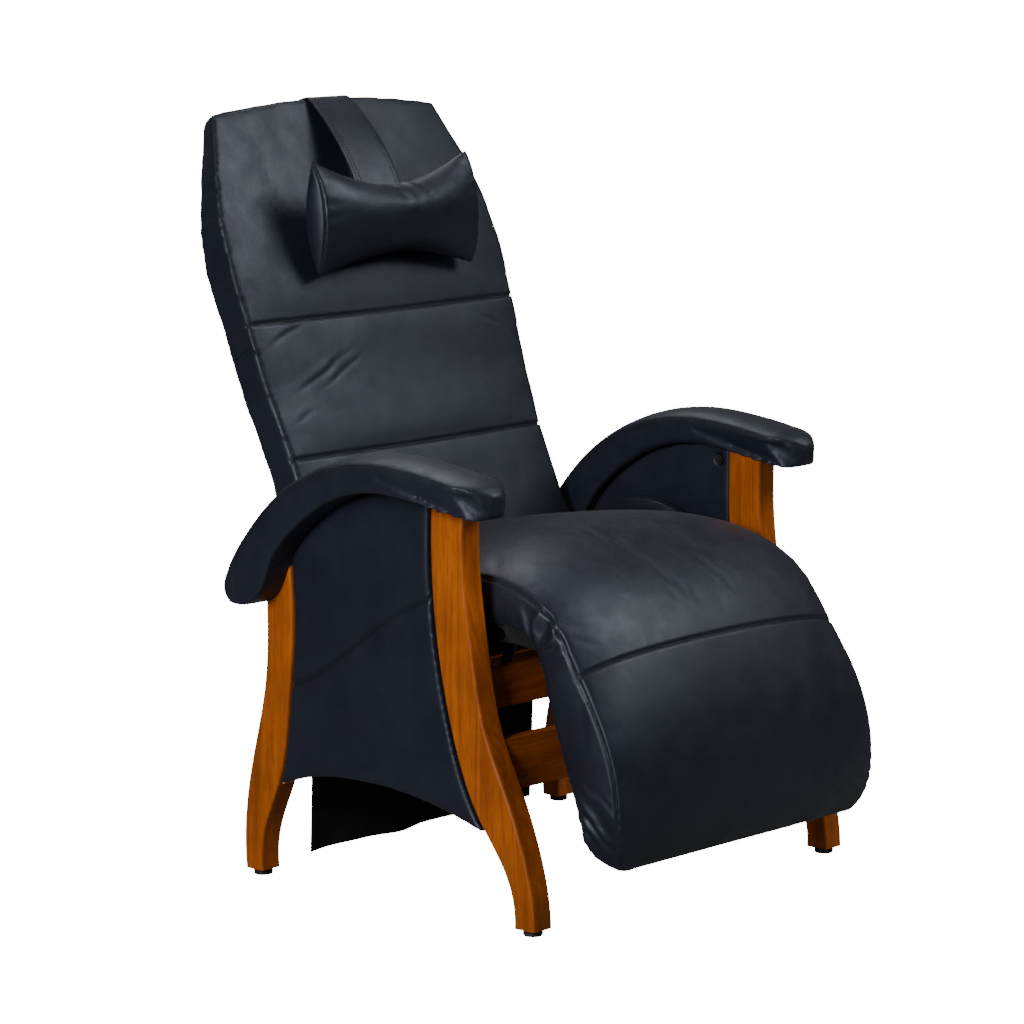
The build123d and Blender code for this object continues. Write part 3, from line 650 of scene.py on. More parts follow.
@dataclass
class CrownedPad:
    """A pad with one side view over its whole width: a flat back, side seams and a crowned front."""

    name: str
    under: SideView
    seam: SideView
    crown: SideView
    half_width: float
    centre_x: float = 0.0
    stations: int = 48
    columns: int = 25
    fullness: float = 2.6
    steepness: float = 0.62

    def lift(self, across: float) -> float:
        """How much of the crown's height is reached at a place across the pad, from -1 to 1."""
        return (1.0 - min(abs(across), 1.0) ** self.fullness) ** self.steepness

    def build(self) -> bpy.types.Object:
        """Make the pad's rough closed form.

        Returns:
            The pad, before its leather is shaped.
        """
        seam = SmoothPath(self.seam).sample(self.stations)
        crown = SmoothPath(self.crown).sample(self.stations)
        under = SmoothPath(self.under).sample(self.stations)
        shape = bmesh.new()
        left = self.centre_x - self.half_width
        rim = [shape.verts.new(side(p[0], p[1], left)) for p in seam + under[::-1]]
        face = shape.faces.new(rim)
        grown = bmesh.ops.extrude_face_region(shape, geom=[face])["geom"]
        far = [item for item in grown if isinstance(item, bmesh.types.BMVert)]
        bmesh.ops.translate(shape, verts=far, vec=(2 * self.half_width, 0.0, 0.0))
        rungs = [e for e in shape.edges if abs(e.verts[0].co.x - e.verts[1].co.x) > self.half_width]
        bmesh.ops.subdivide_edges(shape, edges=rungs, cuts=self.columns, use_grid_fill=False)
        rises = {}
        for low, high in zip(seam, crown):
            key = side(low[0], low[1])
            rises[(round(key.y, 5), round(key.z, 5))] = side(high[0], high[1]) - key
        for vertex in shape.verts:
            rise = rises.get((round(vertex.co.y, 5), round(vertex.co.z, 5)))
            if rise is not None:
                vertex.co += rise * self.lift((vertex.co.x - self.centre_x) / self.half_width)
        return to_object(shape, self.name)


def corner_inset(run: float, radius: float) -> float:
    """How far a rounded corner pulls an edge in, that far from the corner's end."""
    left = max(radius - max(run, 0.0), 0.0)
    return radius - math.sqrt(max(radius * radius - left * left, 0.0))


class Seamwork:
    """The thread and topstitching of one upholstered piece, gathered in one mesh. The dark cords along its seams
    also paint the shade of the seam folds.
    """

    def __init__(self, name: str) -> None:
        """Start with no thread.

        Args:
            name: Name of the piece that the thread becomes.
        """
        self.name = name
        self.shape = bmesh.new()

    def thread(self, line: Sequence[Vector], radius: float = 0.0009) -> None:
        """Lay a cord of closed-up thread along a line. Its dark colour also paints the shade of the seam's fold as
        a thin dark line.
        """
        mesh = cord_mesh(line, radius)
        self.shape.from_mesh(mesh)
        bpy.data.meshes.remove(mesh)

    def stitches(self, line: Sequence[tuple[Vector, Vector]], pitch: float = 0.005, length: float = 0.0034,
                 radius: float = 0.00045, crosswise: bool = False) -> None:
        """Set single stitches along a line on a surface.

        Args:
            line: Places on the surface with their outward directions, closely spaced.
            pitch: Distance from one stitch to the next.
            length: Length of a stitch.
            radius: Half its thickness.
            crosswise: Set the stitches square to the line, as an overcast edge.
        """
        due = pitch
        for (place, outward), (after, _) in zip(line, line[1:]):
            run = after - place
            due -= run.length
            if due > 0 or run.length < 1e-9:
                continue
            due = pitch
            along = run.normalized()
            sideways = outward.cross(along).normalized()
            if crosswise:
                along, sideways = sideways, -along
            turn = Matrix((along, sideways, along.cross(sideways))).transposed().to_4x4()
            size = Matrix.Diagonal((length, 2 * radius, 2 * radius, 1.0))
            bmesh.ops.create_cube(self.shape, size=1.0, matrix=Matrix.Translation(place) @ turn @ size)

    def finish(self, material: bpy.types.Material, body: Body | None) -> bpy.types.Object:
        """Make the thread a piece that moves with its pad."""
        return dressed(to_object(self.shape, self.name), material, body)


@dataclass
class SeatAndLegPad:
    """The seat and the leg rest, upholstered as one pad that bends at the knee."""

    finishes: Finishes
    half_width: float = 0.290
    shin_half: float = 0.301
    foot_z: float = 0.090
    foot_radius: float = 0.062
    cross_share: float = 0.645
    voxel: float = 0.0055
    swell: float = 0.022
    seam: SideView = ((0.180, 0.468), (0.130, 0.474), (0.040, 0.486), (-0.060, 0.494), (-0.120, 0.497),
                      (-0.162, 0.495), (-0.214, 0.482), (-0.268, 0.449), (-0.319, 0.376), (-0.365, 0.306),
                      (-0.392, 0.240), (-0.400, 0.186), (-0.398, 0.140), (-0.388, 0.096))
    crown: SideView = ((0.186, 0.492), (0.130, 0.509), (0.040, 0.527), (-0.060, 0.541), (-0.140, 0.543),
                       (-0.207, 0.529), (-0.267, 0.498), (-0.324, 0.441), (-0.371, 0.366), (-0.402, 0.289),
                       (-0.415, 0.215), (-0.412, 0.150), (-0.396, 0.100))
    under: SideView = ((0.184, 0.434), (0.060, 0.433), (-0.080, 0.433), (-0.180, 0.430), (-0.216, 0.420),
                       (-0.240, 0.398), (-0.258, 0.352), (-0.277, 0.300), (-0.300, 0.235), (-0.324, 0.168),
                       (-0.342, 0.118), (-0.376, 0.094))
    pucker_at: tuple[float, float] = (-0.236, 0.400)
    foot_fold_at: tuple[float, float] = (-0.352, 0.160)
    knee_start: tuple[float, float] = (-0.215, 0.470)
    knee_end: tuple[float, float] = (-0.300, 0.385)

    def __post_init__(self) -> None:
        """Sample the lines along which the leather is held."""
        self.seam_side = SideLine(self.seam, 500)
        self.under_side = SideLine(self.under, 500)

    def form(self) -> CrownedPad:
        """The pad's rough form."""
        return CrownedPad("seat_and_leg_cushion", self.under, self.seam, self.crown, self.half_width,
                          stations=90, columns=60)

    def side_line(self, sign: int) -> list[Vector]:
        """The seam along one side, from the seat's rear to the foot."""
        return [side(y, z, sign * self.half_at(z)) for y, z in SmoothPath(self.seam).sample(420)]

    def half_at(self, z: float) -> float:
        """Half the pad's width at a height: a little wider down the shin, rounded at the foot."""
        shin = ramp(z, 0.48, -0.2)
        half = self.half_width + (self.shin_half - self.half_width) * shin
        return half - corner_inset((z - self.foot_z) / 0.94, self.foot_radius)

    def cross_line(self) -> list[Vector]:
        """The seam across the shin."""
        low = SmoothPath(self.seam).at(self.cross_share)
        high = SmoothPath(self.crown).at(self.cross_share)
        form = self.form()
        half = self.half_at(low[1])
        points = []
        for step in range(301):
            across = -1.0 + step / 150.0
            point = low + (high - low) * form.lift(across)
            points.append(side(point[0], point[1] - 0.0045, across * half))
        return points

    def held(self, place: Vector) -> bool:
        """Whether a place is sewn or glued down while the pad swells."""
        inset = self.half_at(place.z) - abs(place.x)
        at_seam = inset < 0.006 and self.seam_side.gap(place) < 0.0045
        return at_seam or (inset > 0.012 and self.under_side.gap(place) < 0.007)

    def crease(self, place: Vector, outward: Vector) -> Vector:
        """Puckers at the inside of the knee, and small folds at the foot's corners."""
        y, z = place.y - SIDE_ORIGIN_Y, place.z
        cheek = ramp(abs(outward.x), 0.45, 0.35)
        dy, dz = y - self.pucker_at[0], z - self.pucker_at[1]
        reach, angle = math.hypot(dy, dz), math.atan2(dz, dy)
        wander = noise.noise(place * 30.0)
        pucker = bell(reach, 0.042, 0.024) * bell(angle, 2.0, 0.90) * cheek
        rays = math.sin(8.5 * angle + 3.5 * wander) + 0.3 * math.sin(15.0 * angle - 30.0 * reach)
        height = 0.0034 * pucker * rays
        fold = bell(z, self.foot_fold_at[1], 0.045) * cheek * bell(y, self.foot_fold_at[0], 0.035)
        height += 0.0022 * fold * math.sin((z * 0.9 - (y + 0.35) * 0.75) * 240.0 + 4.0 * wander)
        corner = ramp(abs(place.x), self.half_at(z) - 0.055, 0.05) * max(-outward.y, 0.0)
        corner *= bell(z, 0.150, 0.035)
        height += 0.0009 * corner * math.sin(z * 380.0 + 50.0 * abs(place.x) + 2.0 * wander)
        height += 0.0008 * noise.noise(place * 7.0) + 0.0002 * noise.noise(place * 30.0)
        return place + outward * height

    def build(self) -> None:
        """Make the pad and its thread."""
        pad = self.form().build()
        reshape(pad, lambda p, n: Vector((p.x * self.half_at(p.z) / self.half_width, p.y, p.z)))
        remesh(pad, self.voxel)
        relax(pad, 3)
        inflate(pad, self.held, self.swell)
        relax(pad, 5)
        refine(pad)
        reshape(pad, self.crease)
        skin = Skin(pad)
        lines = [skin.lay(line, 0.0) for line in (self.side_line(-1), self.side_line(1), self.cross_line())]
        sew(pad, lines, 0.0030, 0.0030)
        skin = Skin(pad)
        # The dark seam cords in this piece also paint the shade of the seam folds.
        thread = Seamwork("seat_and_leg_thread")
        for line in lines:
            thread.thread(skin.lay(line, 0.0002))
        for piece in (dressed(pad, self.finishes.leather, None),
                      thread.finish(self.finishes.thread, None)):
            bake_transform(piece)
        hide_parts("seat_cushion", "leg_cushion")


def slab(columns: int, rows: int) -> tuple[bmesh.types.BMesh, set[bmesh.types.BMVert]]:
    """A flat square net from -1 to 1 with a second one behind it, closed round the edge.

    Args:
        columns: Squares across.
        rows: Squares up.

    Returns:
        The form, and the vertices of its rear face.
    """
    shape = bmesh.new()
    bmesh.ops.create_grid(shape, x_segments=columns, y_segments=rows, size=1.0)
    grown = bmesh.ops.extrude_face_region(shape, geom=list(shape.faces))["geom"]
    return shape, {item for item in grown if isinstance(item, bmesh.types.BMVert)}


def eased(points: SideView, at: float) -> float:
    """Read a value from (station, value) points, easing a little from each to the next."""
    at = min(max(at, points[0][0]), points[-1][0])
    for (low, a), (high, b) in zip(points, points[1:]):
        if at <= high:
            share = (at - low) / (high - low)
            share = share * share * (3 - 2 * share) * 0.35 + share * 0.65
            return a + (b - a) * share
    return points[-1][1]


@dataclass
class BackPad:
    """The backrest: three puffed panels on the front, a gusset round the sides and a covered back."""

    finishes: Finishes
    half_widths: SideView = ((0.0, 0.287), (0.185, 0.284), (0.400, 0.300), (0.475, 0.305), (0.560, 0.301),
                             (0.640, 0.281), (0.712, 0.257), (0.745, 0.243))
    face: SideView = ((0.0, 0.006), (0.300, 0.005), (0.420, -0.004), (0.500, -0.009), (0.640, -0.010),
                      (0.745, -0.006))
    length: float = 0.737
    top_rise: float = 0.013
    thickness: float = 0.068
    head_thickness: float = 0.034
    taper_up: float = 0.505
    crown: float = 0.009
    channels: tuple[float, float] = (0.401, 0.187)
    joint_up: float = 0.368
    folds: tuple[tuple[float, ...], ...] = (
        (-0.255, 0.280, -0.100, 0.344, 0.0010), (-0.200, 0.280, -0.070, 0.341, 0.0008),
        (-0.275, 0.362, -0.165, 0.399, 0.0010), (-0.270, 0.235, -0.200, 0.259, 0.0005),
        (0.265, 0.345, 0.180, 0.385, 0.0007))
    voxel: float = 0.0055
    swell: float = 0.018

    def half_at(self, up: float) -> float:
        """Half the backrest's width at a station up it."""
        return eased(self.half_widths, up)

    def face_at(self, up: float, across: float) -> float:
        """How far behind the backrest's plane its crowned face lies."""
        share = min(abs(across) / self.half_at(up), 1.0)
        return eased(self.face, up) - self.crown * (1.0 - share * share)

    def rear_at(self, up: float) -> float:
        """How far behind the face the covered back lies at a station."""
        share = ramp(up, self.taper_up, self.length - self.taper_up)
        return self.thickness + (self.head_thickness - self.thickness) * share

    def local(self, place: Vector) -> tuple[float, float, float]:
        """A place as (across, up, behind)."""
        run = place - BACK_FOOT
        return run.x, run.dot(BACK_UP), run.dot(BACK_BEHIND)

    def form(self) -> bpy.types.Object:
        """The pad's rough closed form."""
        shape, rear = slab(56, 72)
        for vertex in shape.verts:
            a, b = vertex.co.x, (vertex.co.y + 1.0) / 2.0
            up = b * (self.length + self.top_rise * (1.0 - a * a) * b)
            half = self.half_at(up)
            if vertex in rear:
                half -= 0.004 + 0.012 * ramp(up, 0.30, 0.12)
            behind = self.rear_at(up) if vertex in rear else self.face_at(up, a * half)
            vertex.co = on_back(a * half, up, behind)
        return to_object(shape, "backrest_cushion")

    def held(self, place: Vector) -> bool:
        """Whether a place is sewn or glued down while the pad swells."""
        across, up, behind = self.local(place)
        if behind > self.rear_at(up) - 0.008:
            return True
        if behind < self.face_at(up, across) + 0.005:
            edge = min(self.half_at(up) - abs(across), up, self.length + self.top_rise - up)
            return edge < 0.005 or min(abs(up - c) for c in self.channels) < 0.0035
        return False

    def face_line(self, points: Sequence[tuple[float, float]], depth: float) -> list[Vector]:
        """A line over the face through (across, up) points."""
        path = SmoothPath([(a, u, 0.0) for a, u in points])
        return [on_back(p[0], p[1], depth) for p in path.sample(360)]

    def gusset_joint(self, sign: int) -> list[Vector]:
        """The short seam across the gusset of one side."""
        across = sign * (self.half_at(self.joint_up) + 0.02)
        return [on_back(across, self.joint_up - 0.006 * i / 40, 0.008 + i * 0.058 / 40) for i in range(41)]

    def channel_lines(self) -> list[list[Vector]]:
        """The two sewn channels, in front of the face."""
        made = []
        for up in self.channels:
            half = self.half_at(up) - 0.002
            made.append(self.face_line([(-half, up - 0.002), (0.0, up - 0.004), (half, up)], -0.05))
        return made

    def edge_lines(self) -> list[list[Vector]]:
        """The seams along both edges and the top, and those across the gussets."""
        made = []
        stations = [i * self.length / 30 for i in range(31)]
        for sign in (-1, 1):
            edge = self.face_line([(sign * (self.half_at(u) - 0.001), u) for u in stations], 0.0)
            made.append([p + BACK_BEHIND * eased(self.face, self.local(p)[1]) for p in edge])
        wide = self.half_at(self.length)
        top = [(wide * a, self.length + self.top_rise * (1 - a * a) - 0.001) for a in (-1, -0.5, 0, 0.5, 1)]
        made.append(self.face_line(top, self.face[-1][1] - 0.003))
        return made + [self.gusset_joint(sign) for sign in (-1, 1)]

    def fold_height(self, fold: tuple[float, ...], across: float, up: float) -> float:
        """How far one fold of slack leather lifts or sinks a place on the face.

        Args:
            fold: The across and up of its two ends, and its depth.
            across: The place's distance from the middle.
            up: The place's distance up the backrest.

        Returns:
            The lift, which is below zero in the fold and above it beside the fold.
        """
        start, end, depth = Vector(fold[0:2]), Vector(fold[2:4]), fold[4]
        along = (end - start).normalized()
        run = Vector((across, up)) - start
        share = run.dot(along) / (end - start).length
        beside = along.cross(run)
        return depth * bell(share, 0.5, 0.30) * (0.5 * bell(beside, 0.009, 0.006) - bell(beside, 0.0, 0.0042))

    def crease(self, place: Vector, outward: Vector) -> Vector:
        """Slack leather: a few long folds, fine wrinkles at the edges and a gentle unevenness."""
        across, up, _ = self.local(place)
        wander = noise.noise(place * 22.0)
        facing = max(-outward.dot(BACK_BEHIND), 0.0)
        height = facing * sum(self.fold_height(fold, across, up + 0.004 * wander) for fold in self.folds)
        gusset = ramp(abs(outward.x), 0.5, 0.3)
        height += 0.0007 * gusset * math.sin(up * 210.0 + 5.0 * wander) * bell(up, 0.55, 0.12)
        height += 0.0010 * noise.noise(place * 7.0) + 0.0002 * noise.noise(place * 28.0)
        return place + outward * height

    def build(self) -> bpy.types.Object:
        """Make the pad and its thread.

        Returns:
            The finished pad.
        """
        pad = self.form()
        remesh(pad, self.voxel)
        relax(pad, 2)
        inflate(pad, self.held, self.swell)
        relax(pad, 5)
        refine(pad)
        reshape(pad, self.crease)
        skin = Skin(pad)
        edges = [evened(skin.lay(line, 0.0), 60) for line in self.edge_lines()]
        channels = [skin.drop(line, BACK_BEHIND) for line in self.channel_lines()]
        sew(pad, edges, 0.0007, 0.0036)
        sew(pad, channels, 0.0030, 0.0030)
        skin = Skin(pad)
        # The dark seam cords in this piece also paint the shade of the seam folds. Its stitches are real thread.
        thread = Seamwork("backrest_thread_and_shade")
        for line in edges:
            thread.thread(evened(skin.lay(line, 0.0004), 40), 0.0010)
        for line in channels:
            thread.thread(skin.lay(line, 0.0002))
        for sign in (-1, 1):
            for drop in (-0.006, 0.006):
                guide = [place + BACK_UP * drop for place in self.gusset_joint(sign)]
                thread.stitches(skin.lay_facing(guide, 0.0001))
        thread.finish(self.finishes.thread, Body.BACKREST)
        dressed(pad, self.finishes.leather, Body.BACKREST)
        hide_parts("back_cushion", "backrest_cover")
        return pad


@dataclass
class HeadPillow:
    """A soft roll, taller at its ends than at its middle, with a pointed cap sewn in each end."""

    finishes: Finishes
    centre_x: float = 0.015
    half_width: float = 0.174
    end_half: float = 0.088
    waist_half: float = 0.050
    sag: float = 0.008
    middle_up: float = 0.5380
    rest_behind: float = -0.018
    middle_thick: float = 0.092
    end_thick: float = 0.050
    cap_bulge: float = 0.007
    pitch: float = 0.325
    swell: float = 0.006

    def build(self) -> None:
        """Make the pillow and the seams of its end caps."""
        shape = bmesh.new()
        bmesh.ops.create_cone(shape, cap_ends=True, segments=64, radius1=1.0, radius2=1.0, depth=2.0)
        caps = [face for face in shape.faces if len(face.verts) > 4]
        for _ in range(5):
            bmesh.ops.inset_region(shape, faces=caps, thickness=0.17)
        long_edges = [e for e in shape.edges if abs(e.verts[0].co.z - e.verts[1].co.z) > 1.0]
        bmesh.ops.subdivide_edges(shape, edges=long_edges, cuts=44)
        for vertex in shape.verts:
            vertex.co = self.placed(vertex.co)
        pillow = to_object(shape, "head_pillow_roll")
        remesh(pillow, 0.0042)
        relax(pillow, 2)
        inflate(pillow, self.held, self.swell, pressure=3.0)
        relax(pillow, 3)
        refine(pillow)
        reshape(pillow, self.crease)
        skin = Skin(pillow)
        lines = [evened(skin.lay(self.cap_line(sign), 0.0), 6) for sign in (-1, 1)]
        sew(pillow, lines, 0.0024, 0.0026)
        skin = Skin(pillow)
        # The dark seam cords in this piece also paint the shade of the seam folds.
        thread = Seamwork("head_pillow_thread")
        for line in lines:
            thread.thread(skin.lay(line, 0.0003), 0.0010)
        thread.finish(self.finishes.thread, Body.PILLOW)
        dressed(pillow, self.finishes.leather, Body.PILLOW)
        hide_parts("head_pillow")

    def placed(self, raw: Vector) -> Vector:
        """Where a point of a plain cylinder of radius 1 goes on the pillow.

        Args:
            raw: The point, with the cylinder's length along Z from -1 to 1.

        Returns:
            Its place on the backrest.
        """
        a, radius = raw.z, min(math.hypot(raw.x, raw.y), 1.0)
        angle = math.atan2(raw.y, raw.x)
        share = abs(a)
        half = self.waist_half + (self.end_half - self.waist_half) * share ** 1.8
        thick = self.middle_thick + (self.end_thick - self.middle_thick) * share ** 2.5
        lens = 0.62 + 0.30 * share ** 3
        rise = math.sin(angle)
        width = max(1.0 - abs(rise) ** 2.0, 0.0) ** lens
        bulge = self.cap_bulge * (1.0 - radius * radius) if share > 0.999 else 0.0
        across = math.copysign(share * self.half_width + bulge, a)
        out = math.copysign(width, math.cos(angle)) * 0.5 * thick * radius
        flat = 0.82 if out < 0 else 1.0
        up = rise * half * radius - self.sag * (1.0 - share ** 1.8)
        forward = self.pitch * (up + self.end_half / 3.0)
        return on_back(self.centre_x + across, self.middle_up + up,
                       self.rest_behind - 0.41 * self.middle_thick - out * flat - forward)

    def held(self, place: Vector) -> bool:
        """Whether a place is on an end cap's seam."""
        return abs(abs(place.x - self.centre_x) - self.half_width) < 0.003

    def cap_line(self, sign: int) -> list[Vector]:
        """The seam round one end cap."""
        steps = (math.tau * i / 260 for i in range(261))
        return [self.placed(Vector((math.cos(a), math.sin(a), sign * 0.996))) for a in steps]

    def crease(self, place: Vector, outward: Vector) -> Vector:
        """Soft dents across the front, and gathers at the end caps."""
        up = (place - on_back(0.0, self.middle_up, 0.0)).dot(BACK_UP)
        across = place.x - self.centre_x
        wander = noise.noise(place * 18.0)
        gather = bell(abs(across), self.half_width - 0.016, 0.016) * max(-outward.dot(BACK_BEHIND), 0.0)
        height = 0.0003 * gather * math.sin(up * 300.0 + 3.0 * wander)
        drape = bell(across, 0.012, 0.030) * bell(up, 0.030, 0.030)
        height += 0.0009 * drape * math.sin(across * 220.0 + up * 60.0 + 2.0 * wander)
        height += 0.0020 * noise.noise(Vector((place.x * 7.0, place.y * 9.0, place.z * 12.0)))
        height += 0.0004 * noise.noise(place * 38.0)
        return place + outward * height


@dataclass
class HeadStrap:
    """The strap that carries the pillow over the top of the backrest to its weighted pouch."""

    finishes: Finishes
    pad: bpy.types.Object
    half_width: float = 0.045
    front_end: float = 0.560
    rear_end: float = 0.620
    lift: float = 0.0016
    thickness: float = 0.0026
    stand_off: float = 0.052
    lean: float = -0.008
    stitch_rows: tuple[float, ...] = (-0.040, -0.034, 0.034, 0.040)

    def guide(self) -> list[Vector]:
        """The strap's run as (up, behind) points, a little outside the backrest."""
        points = [(self.front_end, -0.030), (0.640, -0.030), (0.740, -0.030), (0.778, -0.012), (0.792, 0.016),
                  (0.778, 0.046), (0.740, 0.066), (0.690, 0.076), (self.rear_end, 0.084)]
        return SmoothPath([(u, b, 0.0) for u, b in points]).sample(150)

    def free_share(self, place: Vector) -> float:
        """How far down its free run from the backrest's top to the pillow a place is."""
        run = place - BACK_FOOT
        in_front = 1.0 if run.dot(BACK_BEHIND) < 0.010 else 0.0
        share = in_front * ramp(run.dot(BACK_UP), 0.752, -0.170)
        return 1.0 - (1.0 - share) ** 1.5

    def freed(self, place: Vector, edge: float = 1.0) -> Vector:
        """Where a place goes as the strap's free run hangs off the face.

        Args:
            place: A place on or near the backrest.
            edge: How much of the stand-off it takes.

        Returns:
            The place off the face.
        """
        share = self.free_share(place)
        return place + Vector((self.lean * share, 0.0, 0.0)) - BACK_BEHIND * self.stand_off * share * edge

    def band(self, run: Sequence[Vector]) -> bpy.types.Object:
        """The strap itself, laid over the pad and thickened.

        Args:
            run: Its run as (up, behind) points.

        Returns:
            The strap.
        """
        skin = Skin(self.pad)
        shape = bmesh.new()
        bmesh.ops.create_grid(shape, x_segments=14, y_segments=len(run) - 1, size=1.0)
        rows: dict[int, list[bmesh.types.BMVert]] = {}
        for vertex in shape.verts:
            rows.setdefault(round((vertex.co.y + 1.0) / 2.0 * (len(run) - 1)), []).append(vertex)
        for index, row in rows.items():
            u, b = run[index][0], run[index][1]
            for vertex in row:
                guide = on_back(vertex.co.x * self.half_width, u, b)
                place, normal, _, _ = skin.tree.find_nearest(guide)
                place.x = vertex.co.x * self.half_width
                vertex.co = place + normal * self.lift
        for vertex in shape.verts:
            vertex.co = self.freed(vertex.co, 1.0 + 0.10 * (vertex.co.x / self.half_width))
        for _ in range(10):
            bmesh.ops.smooth_vert(shape, verts=shape.verts, factor=0.5, use_axis_y=True, use_axis_z=True)
        strap = to_object(shape, "head_strap_band")
        outward = strap.data.polygons[len(strap.data.polygons) // 8].normal.dot(BACK_BEHIND) < 0
        modify(strap, "SOLIDIFY", thickness=self.thickness, offset=1.0 if outward else -1.0)
        modify(strap, "BEVEL", width=0.0008, segments=2, limit_method="ANGLE")
        return strap

    def build(self) -> None:
        """Make the strap and the stitches along its edges."""
        run = self.guide()
        strap = self.band(run)
        surface = Skin(strap)
        thread = Seamwork("head_strap_thread")
        stations = SmoothPath(run).sample(1200)
        for edge in self.stitch_rows:
            guide = [self.freed(on_back(edge, up, behind)) for up, behind, _ in stations]
            thread.stitches(surface.lay_facing(guide, 0.0001))
        thread.finish(self.finishes.thread, Body.BACKREST)
        dressed(strap, self.finishes.leather, Body.BACKREST)
        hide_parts("head_strap")


@dataclass
class WeightPouch:
    """The flat weighted pouch that balances the pillow behind the backrest."""

    finishes: Finishes
    half_width: float = 0.049
    half_height: float = 0.073
    thickness: float = 0.018
    seam_inset: float = 0.006

    def build(self) -> None:
        """Make the pouch and its edge stitching, in the place of its solid."""
        low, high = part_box("counterweight")
        centre = Vector((0.0, (low.y + high.y) / 2, (low.z + high.z) / 2))
        lean = Vector(joint("pouch_slide")["axis"]).normalized()
        behind = Vector((0.0, lean.z, -lean.y))
        shape, rear = slab(36, 52)
        for vertex in shape.verts:
            a, b = vertex.co.x, vertex.co.y
            full = ((1 - abs(a) ** 5) * (1 - abs(b) ** 5)) ** 0.55
            pinch = 1 - 0.03 * (1 - full)
            half = 0.5 * self.thickness * (0.16 + 0.84 * full)
            depth = half if vertex in rear else -half * 0.7
            across = Vector((a * self.half_width * pinch, 0, 0))
            vertex.co = centre + across + lean * (b * self.half_height * pinch) + behind * depth
        pouch = to_object(shape, "counterweight_pouch")
        refine(pouch)
        skin = Skin(pouch)
        thread = Seamwork("counterweight_thread")
        w, h = self.half_width - self.seam_inset, self.half_height - self.seam_inset
        ring = [(-w, -h), (w, -h), (w, h), (-w, h), (-w, -h)]
        guide = []
        for (a0, b0), (a1, b1) in zip(ring, ring[1:]):
            guide += [centre + Vector((a0 + (a1 - a0) * i / 120, 0, 0)) + lean * (b0 + (b1 - b0) * i / 120)
                      + behind * 0.03 for i in range(120)]
        thread.stitches(skin.lay_facing(guide, 0.0001))
        thread.finish(self.finishes.thread, Body.POUCH)
        dressed(pouch, self.finishes.leather, Body.POUCH)
        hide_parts("counterweight")


